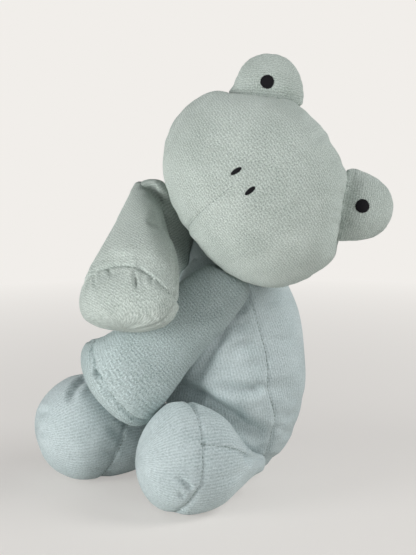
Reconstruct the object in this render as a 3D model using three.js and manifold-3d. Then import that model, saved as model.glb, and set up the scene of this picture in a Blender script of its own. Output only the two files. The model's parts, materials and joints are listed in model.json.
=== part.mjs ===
// A plush frog that sits on its own seat and feet, with its head lolling over its left shoulder.
// It is sewn from velour: a body of two panels, a head of two panels with an eye lobe in each
// upper corner, two arms with gathered hand caps and two short legs with bulbous foot caps.
// Every cover is a thin shell with its stuffing inside it as a solid of its own.
//
// Millimetres, +Z up. The frog faces -Y, its own left is +X, and the origin is the middle of
// the flat patch on which the body rests. The arms, legs and head are posed by angles.

import * as THREE from 'three';
import { mergeVertices } from 'three/addons/utils/BufferGeometryUtils.js';
import Module from 'manifold-3d';

const wasm = await Module();
wasm.setup();

// Cloth and fits
const clothThickness = 1.5;
const seamGap = 0.3; // between two panels that are sewn edge to edge
const stuffingGap = 0.3; // between a cover and its stuffing
const touchGap = 0.4; // between two stuffed forms that lie against each other
const hingeGap = 0.6; // round a root that swings against the form which carries it
const threadGap = 0.3; // between embroidery and the cloth under it
const embroideryHeight = 0.8; // above the cloth
const flatDepth = 0.5; // how deep the seat and the feet are pressed flat
const cutterReach = 600; // overrun of every flat cut
const crumbSize = 0.03; // edges shorter than this are merged away after cutting

// Body
const bodyHeight = 168;
const bodyHalfWidth = 43.5;
const bodyHalfDepth = 40.5;
const bodyForwardLean = 15; // how far forward of the seat the top lies
const bodySideLean = 4; // and how far to the frog's left
const bodySeatDome = 26;
const bodyTopDome = 12;
const bodySectionPower = 2.15;
const pouchHeight = 20; // the bag of beans that weights the seat
const bodyWidthShares = [
  [0, 0.5], [0.08, 0.6], [0.2, 0.82], [0.34, 0.97], [0.46, 1], [0.6, 0.95],
  [0.72, 0.82], [0.82, 0.65], [0.92, 0.46], [1, 0.34],
];

// Neck: a gathered, lightly stuffed ball between the body and the head
const neckRadius = 14;
const neckSink = 4; // how deep the ball's middle lies below the top of the body

// Head
const headHalfWidth = 61;
const headHalfHeight = 49;
const headFrontDepth = 39;
const headBackDepth = 36;
const headOutlinePower = 2.25;
const headDepthPower = 2.2;
const headNeckBack = 30; // from the seam plane back to the neck
const headNeckDown = 30; // from the middle of the head down to the neck
const headTurn = 51; // degrees towards the frog's left
const headNod = 10; // degrees upwards
const headRoll = 53.5; // degrees over the left shoulder
const nostrilLength = 6.5;
const nostrilWidth = 2.4;
const nostrilSpacing = 13;
const nostrilDrop = 4.5; // below the middle of the face
const nostrilSlant = 3; // degrees

// Eye lobes, sewn into the head's outline seam
const eyeSeat = 51; // from the middle of the head to the straight root seam
const eyeLean = 48; // degrees between the head's upward line and a lobe
const eyeHalfWidth = 20.5;
const eyeReach = 25.5; // from the root seam to the far edge
const eyeHalfThickness = 9;
const eyeOutlinePower = 2.3;
const pupilRadius = 3.8;
const pupilRise = 7.8; // from the root seam to the middle of the pupil

// Arms
const shoulderShare = 0.8; // height of the sewn roots, as a share of the body
const leftShoulderAngle = -25; // degrees from the body's left side towards its back
const rightShoulderAngle = 205;
const armRootDepth = 6; // how far a root would reach into the body, before it is cut
const armRootHalfWidth = 13;
const armRootHalfThickness = 10;
const handHalfWidth = 29.5;
const handHalfThickness = 17;
const handDome = 20;
const handCapLength = 32;
const leftWristReach = 88;
const leftHandReach = 34;
const leftArmHeading = -28;
const leftArmDrop = 43;
const leftHandHeading = -100;
const leftHandDrop = 8;
const leftWideHeading = 141; // where the flat of the left arm lies
const leftWideDrop = 53;
const rightUpperLength = 58.5;
const rightUpperHeading = 14;
const rightUpperDrop = -55;
const rightForeLength = 94.5;
const rightForeHeading = 49;
const rightForeDrop = 51;
const foldHalfWidth = 9.5;
const foldHalfThickness = 6;
const upperArmHalfWidth = 14;
const upperArmHalfThickness = 12;
const middleShare = 0.5;
const armShares = [[0, 0], [0.15, 0.42], [0.3, 0.62], [0.5, 0.82], [0.7, 1], [1, 1]];
const foreShares = [[0, 0], [0.3, 0.4], [0.6, 0.82], [0.8, 1], [1, 1]];

// Legs
const hipHeightShare = 0.12;
const legRootDepth = 5;
const legRootHalfWidth = 9;
const legRootHalfHeight = 8;
const leftHipAngle = -12;
const rightHipAngle = 212;
const leftLegShares = [[0, 0], [0.2, 0.13], [0.32, 0.42], [0.46, 0.81], [0.6, 0.97], [0.7, 1], [1, 1]];
const rightLegShares = [[0, 0], [0.2, 0.27], [0.45, 0.8], [0.65, 1], [1, 1]];
const footHalfWidth = 33;
const footHalfHeight = 33;
const footDome = 32;
const leftFootCapLength = 28;
const rightFootCapLength = 40;
const kneeReach = 60; // from the toe back to where the leg turns to its foot
const leftKneeDrop = 8; // the left leg leaves its pinched root lower than its foot's middle
const leftLegLength = 78.3;
const leftLegHeading = -2.1;
const leftFootHeading = -15;
const rightLegLength = 103.5;
const rightLegHeading = -17.1;
const rightFootHeading = -5;

// Swings from this pose, in degrees
const neckTurnRange = 15;
const neckNodRange = 20;
const rightShoulderRange = 40;
const rightSwingHeading = -61; // the axis about which the right arm lifts outwards
const rightSwingDrop = 44;
const rightElbowRange = 60;
const leftShoulderRange = 8;
const hipRange = 35;
const sweepSteps = 2;

// Facets of the stuffed skins
const bodySides = 20;
const bodyInnerSides = 14;
const bodySteps = 8;
const limbSides = 14;
const limbInnerSides = 10;
const limbSteps = 5;
const domeSteps = 3;
const headSides = 24;
const headInnerSides = 16;
const headSteps = 6;
const eyeSides = 14;
const eyeInnerSides = 10;
const eyeSteps = 3;
const embroiderySides = 10;
const neckSides = 16;

const degrees = THREE.MathUtils.degToRad;
const point = (x, y, z) => new THREE.Vector3(x, y, z);
const up = point(0, 0, 1);

// A direction from its heading, turned from the frog's front towards its left, and its drop
function aim(heading, drop) {
  const h = degrees(heading);
  const d = degrees(drop);
  return point(Math.sin(h) * Math.cos(d), -Math.cos(h) * Math.cos(d), -Math.sin(d));
}

// Smooth value from a table of [share along, share] rows
function shareAt(shares, along) {
  const last = shares.length - 1;
  let row = 0;
  while (row < last - 1 && along > shares[row + 1][0]) row += 1;
  const [x0, y0] = shares[row];
  const [x1, y1] = shares[row + 1];
  const slope = (i) => {
    const before = shares[Math.max(i - 1, 0)];
    const after = shares[Math.min(i + 1, last)];
    return (after[1] - before[1]) / (after[0] - before[0]);
  };
  const t = Math.min(Math.max((along - x0) / (x1 - x0), 0), 1);
  const bend = t * t * (3 - 2 * t);
  const leave = t * (1 - t) * (1 - t) * slope(row);
  const arrive = t * t * (t - 1) * slope(row + 1);
  return y0 + (y1 - y0) * bend + (x1 - x0) * (leave + arrive);
}

const power = (value, exponent) => Math.sign(value) * Math.abs(value) ** exponent;

// A closed skin from two poles and the rings of points between them
function skin(startPole, rings, endPole) {
  const sides = rings[0].length;
  const corners = [startPole, ...rings.flat(), endPole];
  const end = corners.length - 1;
  const at = (ring, side) => 1 + ring * sides + (side % sides);
  const faces = [];
  for (let side = 0; side < sides; side += 1) {
    faces.push(0, at(0, side + 1), at(0, side));
    faces.push(end, at(rings.length - 1, side), at(rings.length - 1, side + 1));
    for (let ring = 0; ring < rings.length - 1; ring += 1) {
      faces.push(at(ring, side), at(ring, side + 1), at(ring + 1, side + 1));
      faces.push(at(ring, side), at(ring + 1, side + 1), at(ring + 1, side));
    }
  }
  const geometry = new THREE.BufferGeometry().setFromPoints(corners);
  geometry.setIndex(faces);
  return geometry;
}

// A stuffed form along a curve: oval sections that swell and taper, domed at both ends.
// Inset moves the whole skin inwards, where it has fewer sides, and a negative one lets it out.
function stuffedSkin(form, inset) {
  const { curve, runSteps, startDome, endDome, sectionPower } = form;
  const sides = inset > 0 ? form.innerSides : form.sides;
  const length = curve.getLength();
  const ringAt = (distance, scale) => {
    const along = distance / length;
    const middle = curve.getPointAt(Math.min(Math.max(along, 0), 1));
    const tangent = curve.getTangentAt(Math.min(Math.max(along, 0), 1));
    const wide = form.wideStart.clone().lerp(form.wideEnd, along);
    wide.addScaledVector(tangent, -wide.dot(tangent)).normalize();
    const thick = tangent.clone().cross(wide);
    const halfWidth = (form.halfWidth(along) - inset) * scale;
    const halfThickness = (form.halfThickness(along) - inset) * scale;
    return Array.from({ length: sides }, (unused, side) => {
      const angle = (2 * Math.PI * side) / sides;
      return middle.clone()
        .addScaledVector(wide, halfWidth * power(Math.cos(angle), 2 / sectionPower))
        .addScaledVector(thick, halfThickness * power(Math.sin(angle), 2 / sectionPower));
    });
  };
  const rings = [];
  for (let step = 1; step <= domeSteps; step += 1) {
    const angle = (Math.PI / 2) * (step / domeSteps);
    rings.push(ringAt(inset + (startDome - inset) * (1 - Math.cos(angle)), Math.sin(angle)));
  }
  for (let step = 1; step < runSteps; step += 1) {
    rings.push(ringAt(startDome + (length - startDome - endDome) * (step / runSteps), 1));
  }
  for (let step = domeSteps; step >= 1; step -= 1) {
    const angle = (Math.PI / 2) * (step / domeSteps);
    rings.push(ringAt(length - inset - (endDome - inset) * (1 - Math.cos(angle)), Math.sin(angle)));
  }
  const pole = (distance) => {
    const along = Math.min(Math.max(distance / length, 0), 1);
    return curve.getPointAt(along).addScaledVector(curve.getTangentAt(along), distance - along * length);
  };
  return skin(pole(inset), rings, pole(length - inset));
}

// A stuffed cushion of two panels: its outline seam lies in the plane Y = 0 and bulges both ways
function cushionSkin(form, inset) {
  const halfWidth = form.halfWidth - inset;
  const halfHeight = form.halfHeight - inset;
  const sides = inset > 0 ? form.innerSides : form.sides;
  const rings = [];
  for (let step = 1; step < 2 * form.steps; step += 1) {
    const tilt = (Math.PI / 2) * (step / form.steps - 1);
    const spread = power(Math.cos(tilt), 2 / form.depthPower);
    const depth = (tilt < 0 ? form.front : form.back) - inset;
    rings.push(Array.from({ length: sides }, (unused, side) => {
      const angle = (2 * Math.PI * side) / sides;
      return point(
        halfWidth * spread * power(Math.cos(angle), 2 / form.outlinePower),
        depth * power(Math.sin(tilt), 2 / form.depthPower),
        halfHeight * spread * power(Math.sin(angle), 2 / form.outlinePower),
      );
    }));
  }
  return skin(point(0, inset - form.front, 0), rings.map((ring) => ring.reverse()), point(0, form.back - inset, 0));
}

// Between three.js geometry and solids that can be cut and joined
function solid(geometry, matrix = new THREE.Matrix4()) {
  const bare = geometry.clone().applyMatrix4(matrix);
  bare.deleteAttribute('normal');
  bare.deleteAttribute('uv');
  const merged = mergeVertices(bare);
  return new wasm.Manifold(new wasm.Mesh({
    numProp: 3,
    vertProperties: new Float32Array(merged.attributes.position.array),
    triVerts: new Uint32Array(merged.index.array),
  }));
}

function geometryOf(piece) {
  const mesh = piece.getMesh();
  const geometry = new THREE.BufferGeometry();
  geometry.setAttribute('position', new THREE.BufferAttribute(new Float32Array(mesh.vertProperties), 3));
  geometry.setIndex(new THREE.BufferAttribute(new Uint32Array(mesh.triVerts), 1));
  geometry.computeVertexNormals();
  return geometry;
}

const moved = (piece, matrix) => piece.transform(matrix.elements);
const turnAbout = (pivot, axis, angle) => new THREE.Matrix4()
  .makeTranslation(pivot.x, pivot.y, pivot.z)
  .multiply(new THREE.Matrix4().makeRotationAxis(axis, degrees(angle)))
  .multiply(new THREE.Matrix4().makeTranslation(-pivot.x, -pivot.y, -pivot.z));

// Everything on the side of a plane that its normal points to
function beyond(place, normal) {
  const block = new THREE.BoxGeometry(cutterReach, cutterReach, cutterReach);
  const turn = new THREE.Quaternion().setFromUnitVectors(up, normal);
  const middle = place.clone().addScaledVector(normal, cutterReach / 2);
  return solid(block, new THREE.Matrix4().compose(middle, turn, point(1, 1, 1)));
}

const belowFloor = (inset) => beyond(point(0, 0, inset), point(0, 0, -1));

// The largest body of a cut piece, without the crumbs that a cut can leave
function mainBody(piece) {
  return piece.decompose().sort((a, b) => b.volume() - a.volume())[0];
}

// A hollow cover and its stuffing, from one function that gives the form's solid at an inset
function coverOf(formAt) {
  return formAt(0).subtract(formAt(clothThickness));
}
const stuffingInset = clothThickness + stuffingGap;

// Materials
const sage = '#b4bfb8';
const paleSage = '#bcc6c2';
const darkSage = '#a2b0a8';
const stuffingWhite = '#f0eee8';
const beanGrey = '#d9d6cf';
const threadBlack = '#15141a';
const velour = (color) => new THREE.MeshStandardMaterial({ color, roughness: 0.95, metalness: 0 });
const stuffing = () => new THREE.MeshStandardMaterial({ color: stuffingWhite, roughness: 1, metalness: 0 });
const beans = () => new THREE.MeshStandardMaterial({ color: beanGrey, roughness: 0.8, metalness: 0 });
const thread = () => new THREE.MeshStandardMaterial({ color: threadBlack, roughness: 0.6, metalness: 0 });

const frog = new THREE.Group();

function addPiece(name, piece, material) {
  const mesh = new THREE.Mesh(geometryOf(mainBody(piece).simplify(crumbSize)), material);
  mesh.name = name;
  frog.add(mesh);
}

// The parts of a piece on either side of a plane, with a gap between them
function partedAt(piece, place, normal, gap) {
  const back = normal.clone().negate();
  const half = gap / 2;
  return [
    piece.subtract(beyond(place.clone().addScaledVector(normal, half), back)),
    piece.subtract(beyond(place.clone().addScaledVector(back, half), normal)),
  ];
}

// Body form
const bodyTop = point(bodySideLean, -bodyForwardLean, bodyHeight - flatDepth);
const bodyForm = {
  curve: new THREE.QuadraticBezierCurve3(
    point(0, 0, -flatDepth),
    point(0, 0, bodyHeight / 2),
    bodyTop,
  ),
  wideStart: point(1, 0, 0),
  wideEnd: point(1, 0, 0),
  halfWidth: (along) => bodyHalfWidth * shareAt(bodyWidthShares, along),
  halfThickness: (along) => bodyHalfDepth * shareAt(bodyWidthShares, along),
  startDome: bodySeatDome,
  endDome: bodyTopDome,
  sectionPower: bodySectionPower,
  sides: bodySides,
  innerSides: bodyInnerSides,
  runSteps: bodySteps,
};

// Where the body's skin lies, at a share of its height and an angle from its left towards its back
function bodySurface(along, angle) {
  const middle = bodyForm.curve.getPointAt(along);
  return point(
    middle.x + bodyForm.halfWidth(along) * power(Math.cos(degrees(angle)), 2 / bodySectionPower),
    middle.y + bodyForm.halfThickness(along) * power(Math.sin(degrees(angle)), 2 / bodySectionPower),
    middle.z,
  );
}

const neckMiddle = bodyForm.curve.getPointAt(1).addScaledVector(up, -neckSink);

function neckBall(inset) {
  const ball = new THREE.SphereGeometry(neckRadius - inset, neckSides, neckSides / 2);
  ball.rotateX(Math.PI / 2);
  return solid(ball, new THREE.Matrix4().makeTranslation(neckMiddle.x, neckMiddle.y, neckMiddle.z));
}

const plainBody = (inset) => solid(stuffedSkin(bodyForm, inset)).subtract(belowFloor(inset));
const bodyAt = (inset) => plainBody(inset).subtract(neckBall(-hingeGap - inset));

// Head form, in its own frame: X to the frog's left, -Y out of the face, Z to its top
const headTurning = new THREE.Quaternion().setFromEuler(
  new THREE.Euler(degrees(-headNod), degrees(headRoll), degrees(headTurn), 'ZXY'),
);
const headMiddle = neckMiddle.clone()
  .sub(point(0, headNeckBack, -headNeckDown).applyQuaternion(headTurning));
const headFrame = new THREE.Matrix4().compose(headMiddle, headTurning, point(1, 1, 1));
const headAcross = point(1, 0, 0).applyQuaternion(headTurning);
const headForm = {
  halfWidth: headHalfWidth,
  halfHeight: headHalfHeight,
  front: headFrontDepth,
  back: headBackDepth,
  outlinePower: headOutlinePower,
  depthPower: headDepthPower,
  sides: headSides,
  innerSides: headInnerSides,
  steps: headSteps,
};
const bothSides = [['right', -1], ['left', 1]];
const eyeDirection = (side) => point(side * Math.sin(degrees(eyeLean)), 0, Math.cos(degrees(eyeLean)));

// The head without its places for the neck and the body
function plainHead(inset) {
  let piece = solid(cushionSkin(headForm, inset));
  for (const [, side] of bothSides) {
    const outward = eyeDirection(side);
    piece = piece.subtract(beyond(outward.clone().multiplyScalar(eyeSeat - inset), outward));
  }
  return moved(piece, headFrame);
}

// Hinges: each swings its limb from this pose, at zero, to its range in degrees
const steps = (range) => Array.from({ length: sweepSteps + 1 }, (unused, step) => (range * step) / sweepSteps);
const neckPoses = steps(neckTurnRange).flatMap((turn) => steps(neckNodRange).map((nod) => (
  turnAbout(neckMiddle, up, turn).multiply(turnAbout(neckMiddle, headAcross, -nod))
)));

// Cuts from one piece what another form sweeps through, seen from the piece as its hinge turns
function clearOf(piece, obstacle, poses) {
  return poses.reduce((left, pose) => left.subtract(moved(obstacle, pose.clone().invert())), piece);
}
const swingOf = (pivot, axis, range) => steps(range).map((angle) => turnAbout(pivot, axis, angle));

const headAt = (inset) => clearOf(
  plainHead(inset).subtract(neckBall(-hingeGap - inset)),
  plainBody(-touchGap - inset),
  neckPoses,
);

// A limb's form from its centre line and its half sizes along it
function limbForm(limb) {
  return {
    halfWidth: (along) => shareAt(limb.halfWidths, along),
    halfThickness: (along) => shareAt(limb.halfThicknesses, along),
    sectionPower: 2,
    sides: limbSides,
    innerSides: limbInnerSides,
    ...limb,
  };
}
const plainLimb = (form, inset) => solid(stuffedSkin(form, inset));

// Legs: a pinched root at the side seam and a foot that swells, lying flat on its underside
function legForm(root, heading, length, footHeading, kneeDrop, shares) {
  const end = root.clone().addScaledVector(aim(heading, 0), length).setZ(footHalfHeight - flatDepth);
  const footAim = aim(footHeading, 0);
  const knee = end.clone().addScaledVector(footAim, -kneeReach).addScaledVector(up, -kneeDrop);
  const start = root.clone().addScaledVector(knee.clone().sub(root).normalize(), -legRootDepth);
  const across = footAim.clone().cross(up);
  return limbForm({
    curve: new THREE.QuadraticBezierCurve3(start, knee, end),
    wideStart: across,
    wideEnd: across,
    halfWidths: shares.map(([along, share]) => [along, legRootHalfWidth + (footHalfWidth - legRootHalfWidth) * share]),
    halfThicknesses: shares.map(([along, share]) => [along, legRootHalfHeight + (footHalfHeight - legRootHalfHeight) * share]),
    startDome: legRootHalfHeight,
    endDome: footDome,
    runSteps: limbSteps,
  });
}
const leftHip = bodySurface(hipHeightShare, leftHipAngle);
const rightHip = bodySurface(hipHeightShare, rightHipAngle);
const legs = {
  left: {
    form: legForm(leftHip, leftLegHeading, leftLegLength, leftFootHeading, leftKneeDrop, leftLegShares),
    poses: swingOf(leftHip, up, hipRange),
    capLength: leftFootCapLength,
  },
  right: {
    form: legForm(rightHip, rightLegHeading, rightLegLength, rightFootHeading, 0, rightLegShares),
    poses: swingOf(rightHip, up, -hipRange),
    capLength: rightFootCapLength,
  },
};
function legAt(leg, inset) {
  const piece = plainLimb(leg.form, inset).subtract(belowFloor(inset));
  return clearOf(piece, plainBody(-hingeGap - inset), leg.poses);
}

// Left arm: from the shoulder forward and down across the belly, its hand curling inwards
const leftArmAim = aim(leftArmHeading, leftArmDrop);
const leftShoulder = bodySurface(shoulderShare, leftShoulderAngle);
const leftArmWide = aim(leftWideHeading, leftWideDrop);
const leftArmStart = leftShoulder.clone().addScaledVector(leftArmAim, -armRootDepth);
const leftWrist = leftShoulder.clone().addScaledVector(leftArmAim, leftWristReach);
const leftArmEnd = leftWrist.clone().addScaledVector(aim(leftHandHeading, leftHandDrop), leftHandReach);
const leftArmForm = limbForm({
  curve: new THREE.CatmullRomCurve3([
    leftArmStart,
    leftArmStart.clone().lerp(leftWrist, middleShare),
    leftWrist,
    leftArmEnd,
  ]),
  wideStart: leftArmWide,
  wideEnd: leftArmWide,
  halfWidths: armShares.map(([along, share]) => [along, armRootHalfWidth + (handHalfWidth - armRootHalfWidth) * share]),
  halfThicknesses: armShares.map(([along, share]) => [
    along, armRootHalfThickness + (handHalfThickness - armRootHalfThickness) * share,
  ]),
  startDome: armRootHalfThickness,
  endDome: handDome,
  runSteps: limbSteps + 2,
});
const leftLiftAxis = leftArmWide.clone().cross(leftArmAim).normalize();
const leftArmPoses = swingOf(leftShoulder, leftLiftAxis, leftShoulderRange);
function leftArmAt(inset) {
  const obstacles = [
    plainBody(-hingeGap - inset),
    plainLimb(legs.left.form, -hingeGap - inset),
    plainLimb(legs.right.form, -hingeGap - inset),
    plainHead(-touchGap - inset),
  ];
  return obstacles.reduce((left, obstacle) => clearOf(left, obstacle, leftArmPoses), plainLimb(leftArmForm, inset));
}

// Right arm: the upper arm rises behind the head, folds sharply and hangs down in front
const rightShoulder = bodySurface(shoulderShare, rightShoulderAngle);
const rightUpperAim = aim(rightUpperHeading, rightUpperDrop);
const rightElbow = rightShoulder.clone().addScaledVector(rightUpperAim, rightUpperLength);
const rightForeAim = aim(rightForeHeading, rightForeDrop);
const foldAxis = rightForeAim.clone().cross(rightUpperAim).normalize();
const rightUpperForm = limbForm({
  curve: new THREE.LineCurve3(
    rightShoulder.clone().addScaledVector(rightUpperAim, -armRootDepth),
    rightElbow.clone().addScaledVector(rightUpperAim, foldHalfThickness),
  ),
  wideStart: foldAxis,
  wideEnd: foldAxis,
  halfWidths: [[0, armRootHalfWidth], [0.4, upperArmHalfWidth], [0.8, upperArmHalfWidth], [1, foldHalfWidth]],
  halfThicknesses: [
    [0, armRootHalfThickness], [0.4, upperArmHalfThickness], [0.75, armRootHalfThickness], [1, foldHalfThickness],
  ],
  startDome: armRootHalfThickness,
  endDome: foldHalfThickness,
  runSteps: limbSteps - 2,
});
const rightForeForm = limbForm({
  curve: new THREE.LineCurve3(
    rightElbow.clone().addScaledVector(rightForeAim, -foldHalfThickness),
    rightElbow.clone().addScaledVector(rightForeAim, rightForeLength),
  ),
  wideStart: foldAxis,
  wideEnd: foldAxis,
  halfWidths: foreShares.map(([along, share]) => [along, foldHalfWidth + (handHalfWidth - foldHalfWidth) * share]),
  halfThicknesses: foreShares.map(([along, share]) => [
    along, foldHalfThickness + (handHalfThickness - foldHalfThickness) * share,
  ]),
  startDome: foldHalfThickness,
  endDome: handDome,
  runSteps: limbSteps,
});
const rightSwingAxis = aim(rightSwingHeading, rightSwingDrop);
const rightArmPoses = swingOf(rightShoulder, rightSwingAxis, rightShoulderRange);
const rightElbowPoses = swingOf(rightElbow, foldAxis, rightElbowRange);
const foreSwept = (inset) => rightElbowPoses.map((pose) => moved(plainLimb(rightForeForm, inset), pose));

// The upper arm ends at the fold, where its cover is open and the forearm's root turns against it
const rightUpperShut = (inset) => clearOf(
  clearOf(plainLimb(rightUpperForm, inset), plainBody(-hingeGap - inset), rightArmPoses),
  plainHead(-touchGap - inset),
  rightArmPoses,
);
const foldCut = (piece, inset) => foreSwept(-touchGap - inset).reduce((left, cut) => left.subtract(cut), piece);
const rightForeAt = (inset) => plainLimb(rightForeForm, inset)
  .subtract(plainHead(-touchGap - inset))
  .subtract(leftArmPoses.map((pose) => moved(plainLimb(leftArmForm, -touchGap - inset), pose))
    .reduce((all, next) => all.add(next)));

// Body pieces
const bodySeamNormal = point(0, -bodyHeight, -bodyForwardLean).normalize();
const seatMiddle = point(0, 0, 0);
const [bodyFront, bodyBack] = partedAt(coverOf(bodyAt), seatMiddle, bodySeamNormal, seamGap);
addPiece('body_front_panel', bodyFront, velour(paleSage));
addPiece('body_back_panel', bodyBack, velour(paleSage));
const bodyInside = bodyAt(stuffingInset);
const [bodyStuffing, pouch] = partedAt(bodyInside, point(0, 0, pouchHeight), up, stuffingGap);
addPiece('body_filling', bodyStuffing, stuffing());
addPiece('seat_bean_pouch', pouch, beans());
addPiece('neck_gather', neckBall(0), velour(darkSage));

// Head pieces
const faceNormal = point(0, -1, 0).applyQuaternion(headTurning);
const [face, headBack] = partedAt(coverOf(headAt), headMiddle, faceNormal, seamGap);
addPiece('face_panel', face, velour(sage));
addPiece('head_back_panel', headBack, velour(sage));
addPiece('head_filling', headAt(stuffingInset), stuffing());

// Depth of the face's skin in front of its outline seam
function cushionDepth(form, x, z) {
  const spread = (Math.abs(x / form.halfWidth) ** form.outlinePower
    + Math.abs(z / form.halfHeight) ** form.outlinePower) ** (1 / form.outlinePower);
  return form.front * (1 - spread ** form.depthPower) ** (1 / form.depthPower);
}

// A raised patch of embroidery, domed, that lies on a cushion's front
function embroidery(form, cutter, x, z, halfLength, halfWidth, slant) {
  const y = -cushionDepth(form, x, z);
  const rise = (dx, dz) => -cushionDepth(form, x + dx, z + dz) - y;
  const reach = halfWidth;
  const normal = point(rise(reach, 0) / reach, -1, rise(0, reach) / reach).normalize();
  const lean = new THREE.Quaternion().setFromUnitVectors(point(0, -1, 0), normal);
  lean.multiply(new THREE.Quaternion().setFromAxisAngle(point(0, 1, 0), degrees(slant)));
  const dome = new THREE.SphereGeometry(1, embroiderySides, embroiderySides / 2);
  const sizes = point(halfWidth, embroideryHeight + touchGap, halfLength);
  return solid(dome, new THREE.Matrix4().compose(point(x, y, z), lean, sizes)).subtract(cutter);
}

const headCutter = solid(cushionSkin(headForm, -threadGap));
const eyeForm = {
  halfWidth: eyeHalfWidth,
  halfHeight: eyeReach,
  front: eyeHalfThickness,
  back: eyeHalfThickness,
  outlinePower: eyeOutlinePower,
  depthPower: 2,
  sides: eyeSides,
  innerSides: eyeInnerSides,
  steps: eyeSteps,
};
const eyeCutter = solid(cushionSkin(eyeForm, -threadGap));
const belowRoot = (height) => beyond(point(0, 0, height), point(0, 0, -1));
for (const [name, side] of bothSides) {
  const nostril = embroidery(
    headForm, headCutter, (side * nostrilSpacing) / 2, -nostrilDrop,
    nostrilLength / 2, nostrilWidth / 2, side * nostrilSlant,
  );
  addPiece(`${name}_nostril`, moved(nostril, headFrame), thread());

  const turn = new THREE.Quaternion().setFromAxisAngle(point(0, 1, 0), degrees(side * eyeLean));
  const root = eyeDirection(side).multiplyScalar(eyeSeat);
  const eyeFrame = headFrame.clone().multiply(new THREE.Matrix4().compose(root, turn, point(1, 1, 1)));
  const lobe = coverOf((inset) => solid(cushionSkin(eyeForm, inset))).subtract(belowRoot(seamGap));
  addPiece(`${name}_eye_cover`, moved(lobe, eyeFrame), velour(sage));
  const inside = solid(cushionSkin(eyeForm, stuffingInset)).subtract(belowRoot(seamGap + stuffingGap));
  addPiece(`${name}_eye_filling`, moved(inside, eyeFrame), stuffing());
  const pupil = embroidery(eyeForm, eyeCutter, 0, pupilRise, pupilRadius, pupilRadius, 0);
  addPiece(`${name}_pupil`, moved(pupil, eyeFrame), thread());
}

// A limb's sleeve and end cap, parted square to its centre line, and the stuffing inside
function addLimb(form, formAt, capLength, sleeveName, capName, fillingName, color) {
  const along = 1 - capLength / form.curve.getLength();
  const [cap, sleeve] = partedAt(coverOf(formAt), form.curve.getPointAt(along), form.curve.getTangentAt(along), seamGap);
  addPiece(sleeveName, sleeve, velour(color));
  addPiece(capName, cap, velour(color));
  addPiece(fillingName, formAt(stuffingInset), stuffing());
}
for (const [name] of bothSides) {
  const leg = legs[name];
  addLimb(
    leg.form, (inset) => legAt(leg, inset), leg.capLength,
    `${name}_leg_sleeve`, `${name}_foot_cap`, `${name}_leg_filling`, paleSage,
  );
}
addLimb(
  leftArmForm, leftArmAt, handCapLength,
  'left_arm_sleeve', 'left_hand_cap', 'left_arm_filling', darkSage,
);
addLimb(
  rightForeForm, rightForeAt, handCapLength,
  'right_forearm_sleeve', 'right_hand_cap', 'right_forearm_filling', sage,
);
const upperCover = foldCut(rightUpperShut(0), 0).subtract(rightUpperShut(clothThickness));
addPiece('right_upper_sleeve', upperCover, velour(sage));
addPiece('right_upper_filling', foldCut(rightUpperShut(stuffingInset), 0), stuffing());

export default frog;
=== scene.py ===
# %% [markdown]
# # A plush frog in short-pile velour
# The real frog is sewn from a knitted velour whose pile is under a millimetre long. It has a body of two
# panels, a big head of two panels with a stuffed eye lobe sewn into each upper corner, bent arms with
# gathered hand caps and short legs with round foot caps. Eyes and nostrils are satin-stitch embroidery.
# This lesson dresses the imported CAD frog: every cover is lofted again as one smooth form, filled by a
# cloth simulation, pressed against its neighbours and then given its seams, gathers and folds.

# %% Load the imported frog
import json
import math

import bmesh
import bpy
import numpy as np
from mathutils import Matrix, Vector, noise
from mathutils.bvhtree import BVHTree


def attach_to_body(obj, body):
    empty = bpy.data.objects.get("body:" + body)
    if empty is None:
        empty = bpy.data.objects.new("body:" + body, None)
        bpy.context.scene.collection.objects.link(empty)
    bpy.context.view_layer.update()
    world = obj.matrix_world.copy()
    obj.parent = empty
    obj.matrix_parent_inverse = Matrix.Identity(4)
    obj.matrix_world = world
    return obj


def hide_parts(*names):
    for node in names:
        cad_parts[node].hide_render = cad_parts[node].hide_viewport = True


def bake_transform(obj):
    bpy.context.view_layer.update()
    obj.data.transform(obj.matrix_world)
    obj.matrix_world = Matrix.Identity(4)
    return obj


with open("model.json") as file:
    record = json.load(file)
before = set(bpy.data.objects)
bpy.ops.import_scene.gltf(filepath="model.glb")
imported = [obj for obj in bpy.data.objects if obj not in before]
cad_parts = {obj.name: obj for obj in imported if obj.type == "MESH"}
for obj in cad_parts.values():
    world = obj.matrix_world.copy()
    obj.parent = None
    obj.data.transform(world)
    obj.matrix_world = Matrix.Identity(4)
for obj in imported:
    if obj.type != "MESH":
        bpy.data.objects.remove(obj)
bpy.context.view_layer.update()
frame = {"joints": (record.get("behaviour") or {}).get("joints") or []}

MM = 0.001  # the shapes are worked out in millimetres and made in metres
scene = bpy.context.scene
hinges = {joint["name"]: joint for joint in frame["joints"]}


def set_all(thing, **values):
    for name, value in values.items():
        setattr(thing, name, value)


def placed(name, data):
    """A new object in the scene, with the data that it shows."""
    obj = bpy.data.objects.new(name, data)
    scene.collection.objects.link(obj)
    return obj


# %% [markdown]
# ## Camera, floor and light
# The photograph looks at the frog's left side from about its own height. A camera that was fitted to the
# photograph stands 60 degrees round from the front and looks down by 8 degrees. The sensor is fitted
# by its height, so the lens keeps its meaning for the upright picture of 416 by 555 pixels.

# %% Camera
PICTURE_HEIGHT, FOCAL_PIXELS = 555, 1000
SENSOR_HEIGHT = 24
CAMERA_PLACE = (0.52093, -0.32355, 0.21377)
CAMERA_ROUND, CAMERA_DOWN = math.radians(60), math.radians(8)
camera = placed("camera", bpy.data.cameras.new("camera"))
lens = SENSOR_HEIGHT * FOCAL_PIXELS / PICTURE_HEIGHT
set_all(camera.data, sensor_fit="VERTICAL", sensor_height=SENSOR_HEIGHT, lens=lens)
set_all(camera, location=CAMERA_PLACE, rotation_euler=(math.pi / 2 - CAMERA_DOWN, 0, CAMERA_ROUND))
scene.camera = camera
print("lens in mm:", round(lens, 2))

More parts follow.
